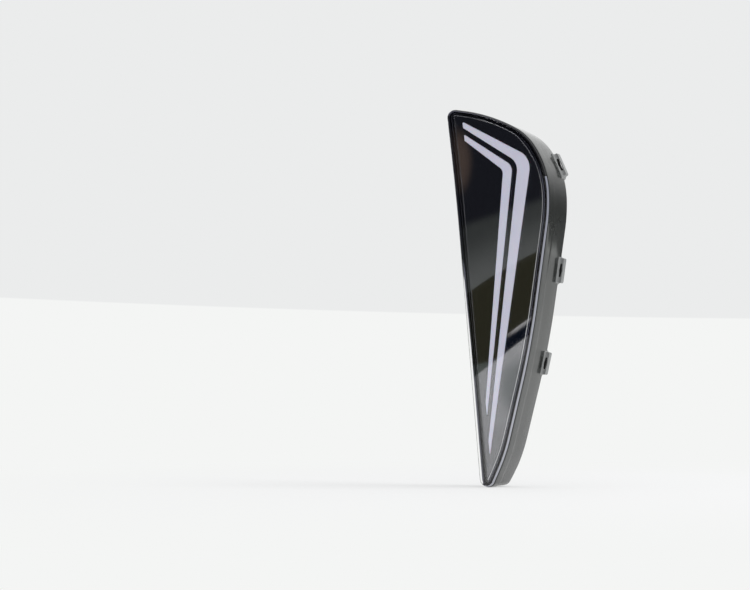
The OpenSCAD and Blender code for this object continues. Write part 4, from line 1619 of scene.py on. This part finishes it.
@dataclass
class Carried:
    """The nodes that come from the part's source as they are: what lies inside, and what holds the inlet.

    Each finish is given with the nodes that it dresses.
    """

    stuff: tuple[tuple[Finish, tuple[str, ...]], ...] = (
        # Plated from a bath: cool grey with a faint sparkle
        (Metal("zinc_plated_steel", "#b9bcc0", 0.28), ("module_screws", "driver_screws", "socket_screws")),
        # Moulded: an even, bright white that throws the light forward
        (MouldedPlastic("white_polycarbonate", "#e8e8ea", "#dcdcde", 0.35), ("reflector_tray",)),
        # Squeezed from a nozzle: a dull dark bead
        (MouldedPlastic("silicone_sealant", "#2a2a2c", "#242426", 0.6, sheen=0.0), ("lens_seal",)),
        # Cured lacquer: a level satin coat
        (MouldedPlastic("solder_mask_white", "#e2e5df", "#d8dcd4", 0.35, grain_depth=0.05), ("led_board",)),
        (MouldedPlastic("solder_mask_green", "#1f5c3a", "#194f31", 0.32, grain_depth=0.05),
         ("driver_board",)),
        # Cast: a soft yellow
        (MouldedPlastic("led_phosphor_silicone", "#e8d98c", "#dccb7c", 0.4, 0.6),
         ("outer_leds", "inner_leds")),
        # Rolled as a sheet: dull and soft, greyish blue
        (MouldedPlastic("gap_pad_silicone", "#8e98a6", "#848e9c", 0.8, sheen=0.0), ("thermal_pad",)),
        # Moulded: a dry black
        (MouldedPlastic("epoxy_moulding_black", "#1a1b1d", "#141517", 0.55, 0.4, sheen=0.0),
         ("driver_chip", "driver_resistors")),
        # Sintered: a powdery dark grey, and a satin tan
        (MouldedPlastic("ferrite", "#3d3e41", "#343538", 0.6, 0.5, sheen=0.0), ("driver_coil",)),
        (MouldedPlastic("fired_ceramic", "#b28d5e", "#a58254", 0.45, 0.4), ("driver_capacitors",)),
        # Stretched film: a white like paper
        (MouldedPlastic("ptfe_membrane", "#f0f0ed", "#e7e7e3", 0.7, 0.4, sheen=0.0), ("vent_membrane",)),
        # Rolled: pale, with long fine lines
        (Metal("rolled_aluminium", "#d4d6d8", 0.32, 0.5, (6.0, 6.0, 0.5)), ("heat_spreader",)),
        # Stamped and tinned: a bright, pale yellow
        (Metal("tinned_brass", "#d8c58a", 0.2), ("socket_pins", "board_link")))

    def dress(self, nodes: dict[str, Object]) -> int:
        """Gives each of them its material, one for all nodes of the same stuff.

        Args:
            nodes: The nodes by name.

        Returns:
            How many were dressed.
        """
        for finish, names in self.stuff:
            material = finish.material()
            for name in names:
                nodes[name].data.materials.clear()
                nodes[name].data.materials.append(material)
        return sum(len(names) for _, names in self.stuff)


def note_size(step: str, sizes: dict[str, list[list[float]]]) -> None:
    """Keeps the lowest and highest corner of the shown object."""
    sizes[step] = [list(map(float, corner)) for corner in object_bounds()]


def main() -> None:
    """Builds the scene."""
    logging.basicConfig(level=logging.INFO, format="%(message)s")
    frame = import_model()
    sizes: dict[str, list[list[float]]] = {}
    note_size("cad", sizes)
    # Smooth side wall: mirrors the room in long soft streaks
    shell = MouldedPlastic(grain_depth=0.08, streak_depth=0.2, body_gloss=0.3, sheen=1.0,
                           sheen_roughness=0.05)
    # Painted light on the face of the loops: a pale grey
    loop_face = MouldedPlastic("pp_black_painted_light", "#949695", "#8a8c8b", 0.42)
    # Painted shade inside their slots: nearly black, and dull
    loop_slot = MouldedPlastic("pp_black_painted_shade", "#0c0d0d", "#090a0a", 0.85, sheen=0.0)
    # Rear wall, coarsely eroded: an even dark grey without a mirror
    rear = MouldedPlastic("spark_eroded_pp_black", "#2d2f2e", "#232524", 0.5, 0.9, 0.7, sheen=0.15,
                          sheen_roughness=0.4)
    # Painted shade on the lens's edge along the top and the upper curved side: polished, nearly black
    black_edge = MouldedPlastic("polycarbonate_edge_painted_shade", "#121217", "#0e0e12", 0.12, grain_depth=0.02,
                                sheen=0.0)
    # Metal layers on the bezel: a deep black mirror, a smoked one, and a bright one as painted highlight on
    # its line
    layers = (("black_chrome_on_abs", "#7a7a7e"), ("smoked_chrome", "#52525e"),
              ("chrome_line_painted_highlight", "#e6e6ea"))
    black_chrome, smoked, painted_highlight_chrome = (VacuumMetal(*layer).material() for layer in layers)
    # Rubber from a warm tool: dry and dark
    rubber = MouldedPlastic("epdm_rubber", "#1f2020", "#181919", 0.62, 0.7, sheen=0.0).material()
    # Connector plastic: black with a satin shine
    pbt = MouldedPlastic("pbt_black", "#1b1c1c", "#161717", 0.34, 0.6, sheen=0.4).material()
    opal = OpalPlastic().material()
    made = [Housing().build([finish.material() for finish in (shell, loop_face, loop_slot, rear)]),
            Lens().build([ClearPlastic().material(), smoked, PaintedLitEdge().material(), black_edge.material()]),
            Bezel().build([black_chrome, smoked, painted_highlight_chrome]),
            *(bar.build(opal) for bar in (OUTER_BAR, INNER_BAR)),
            InletShell().build(pbt), InletGasket().build(rubber), VentCap().build(rubber)]
    for obj in made:
        LOG.info("%s: %d faces", obj.name, len(obj.data.polygons))
    count = Carried().dress(frame["nodes"])
    LOG.info("carried over: %d nodes dressed", count)
    Studio().build()
    note_size("finished", sizes)


if __name__ == "__main__":
    main()
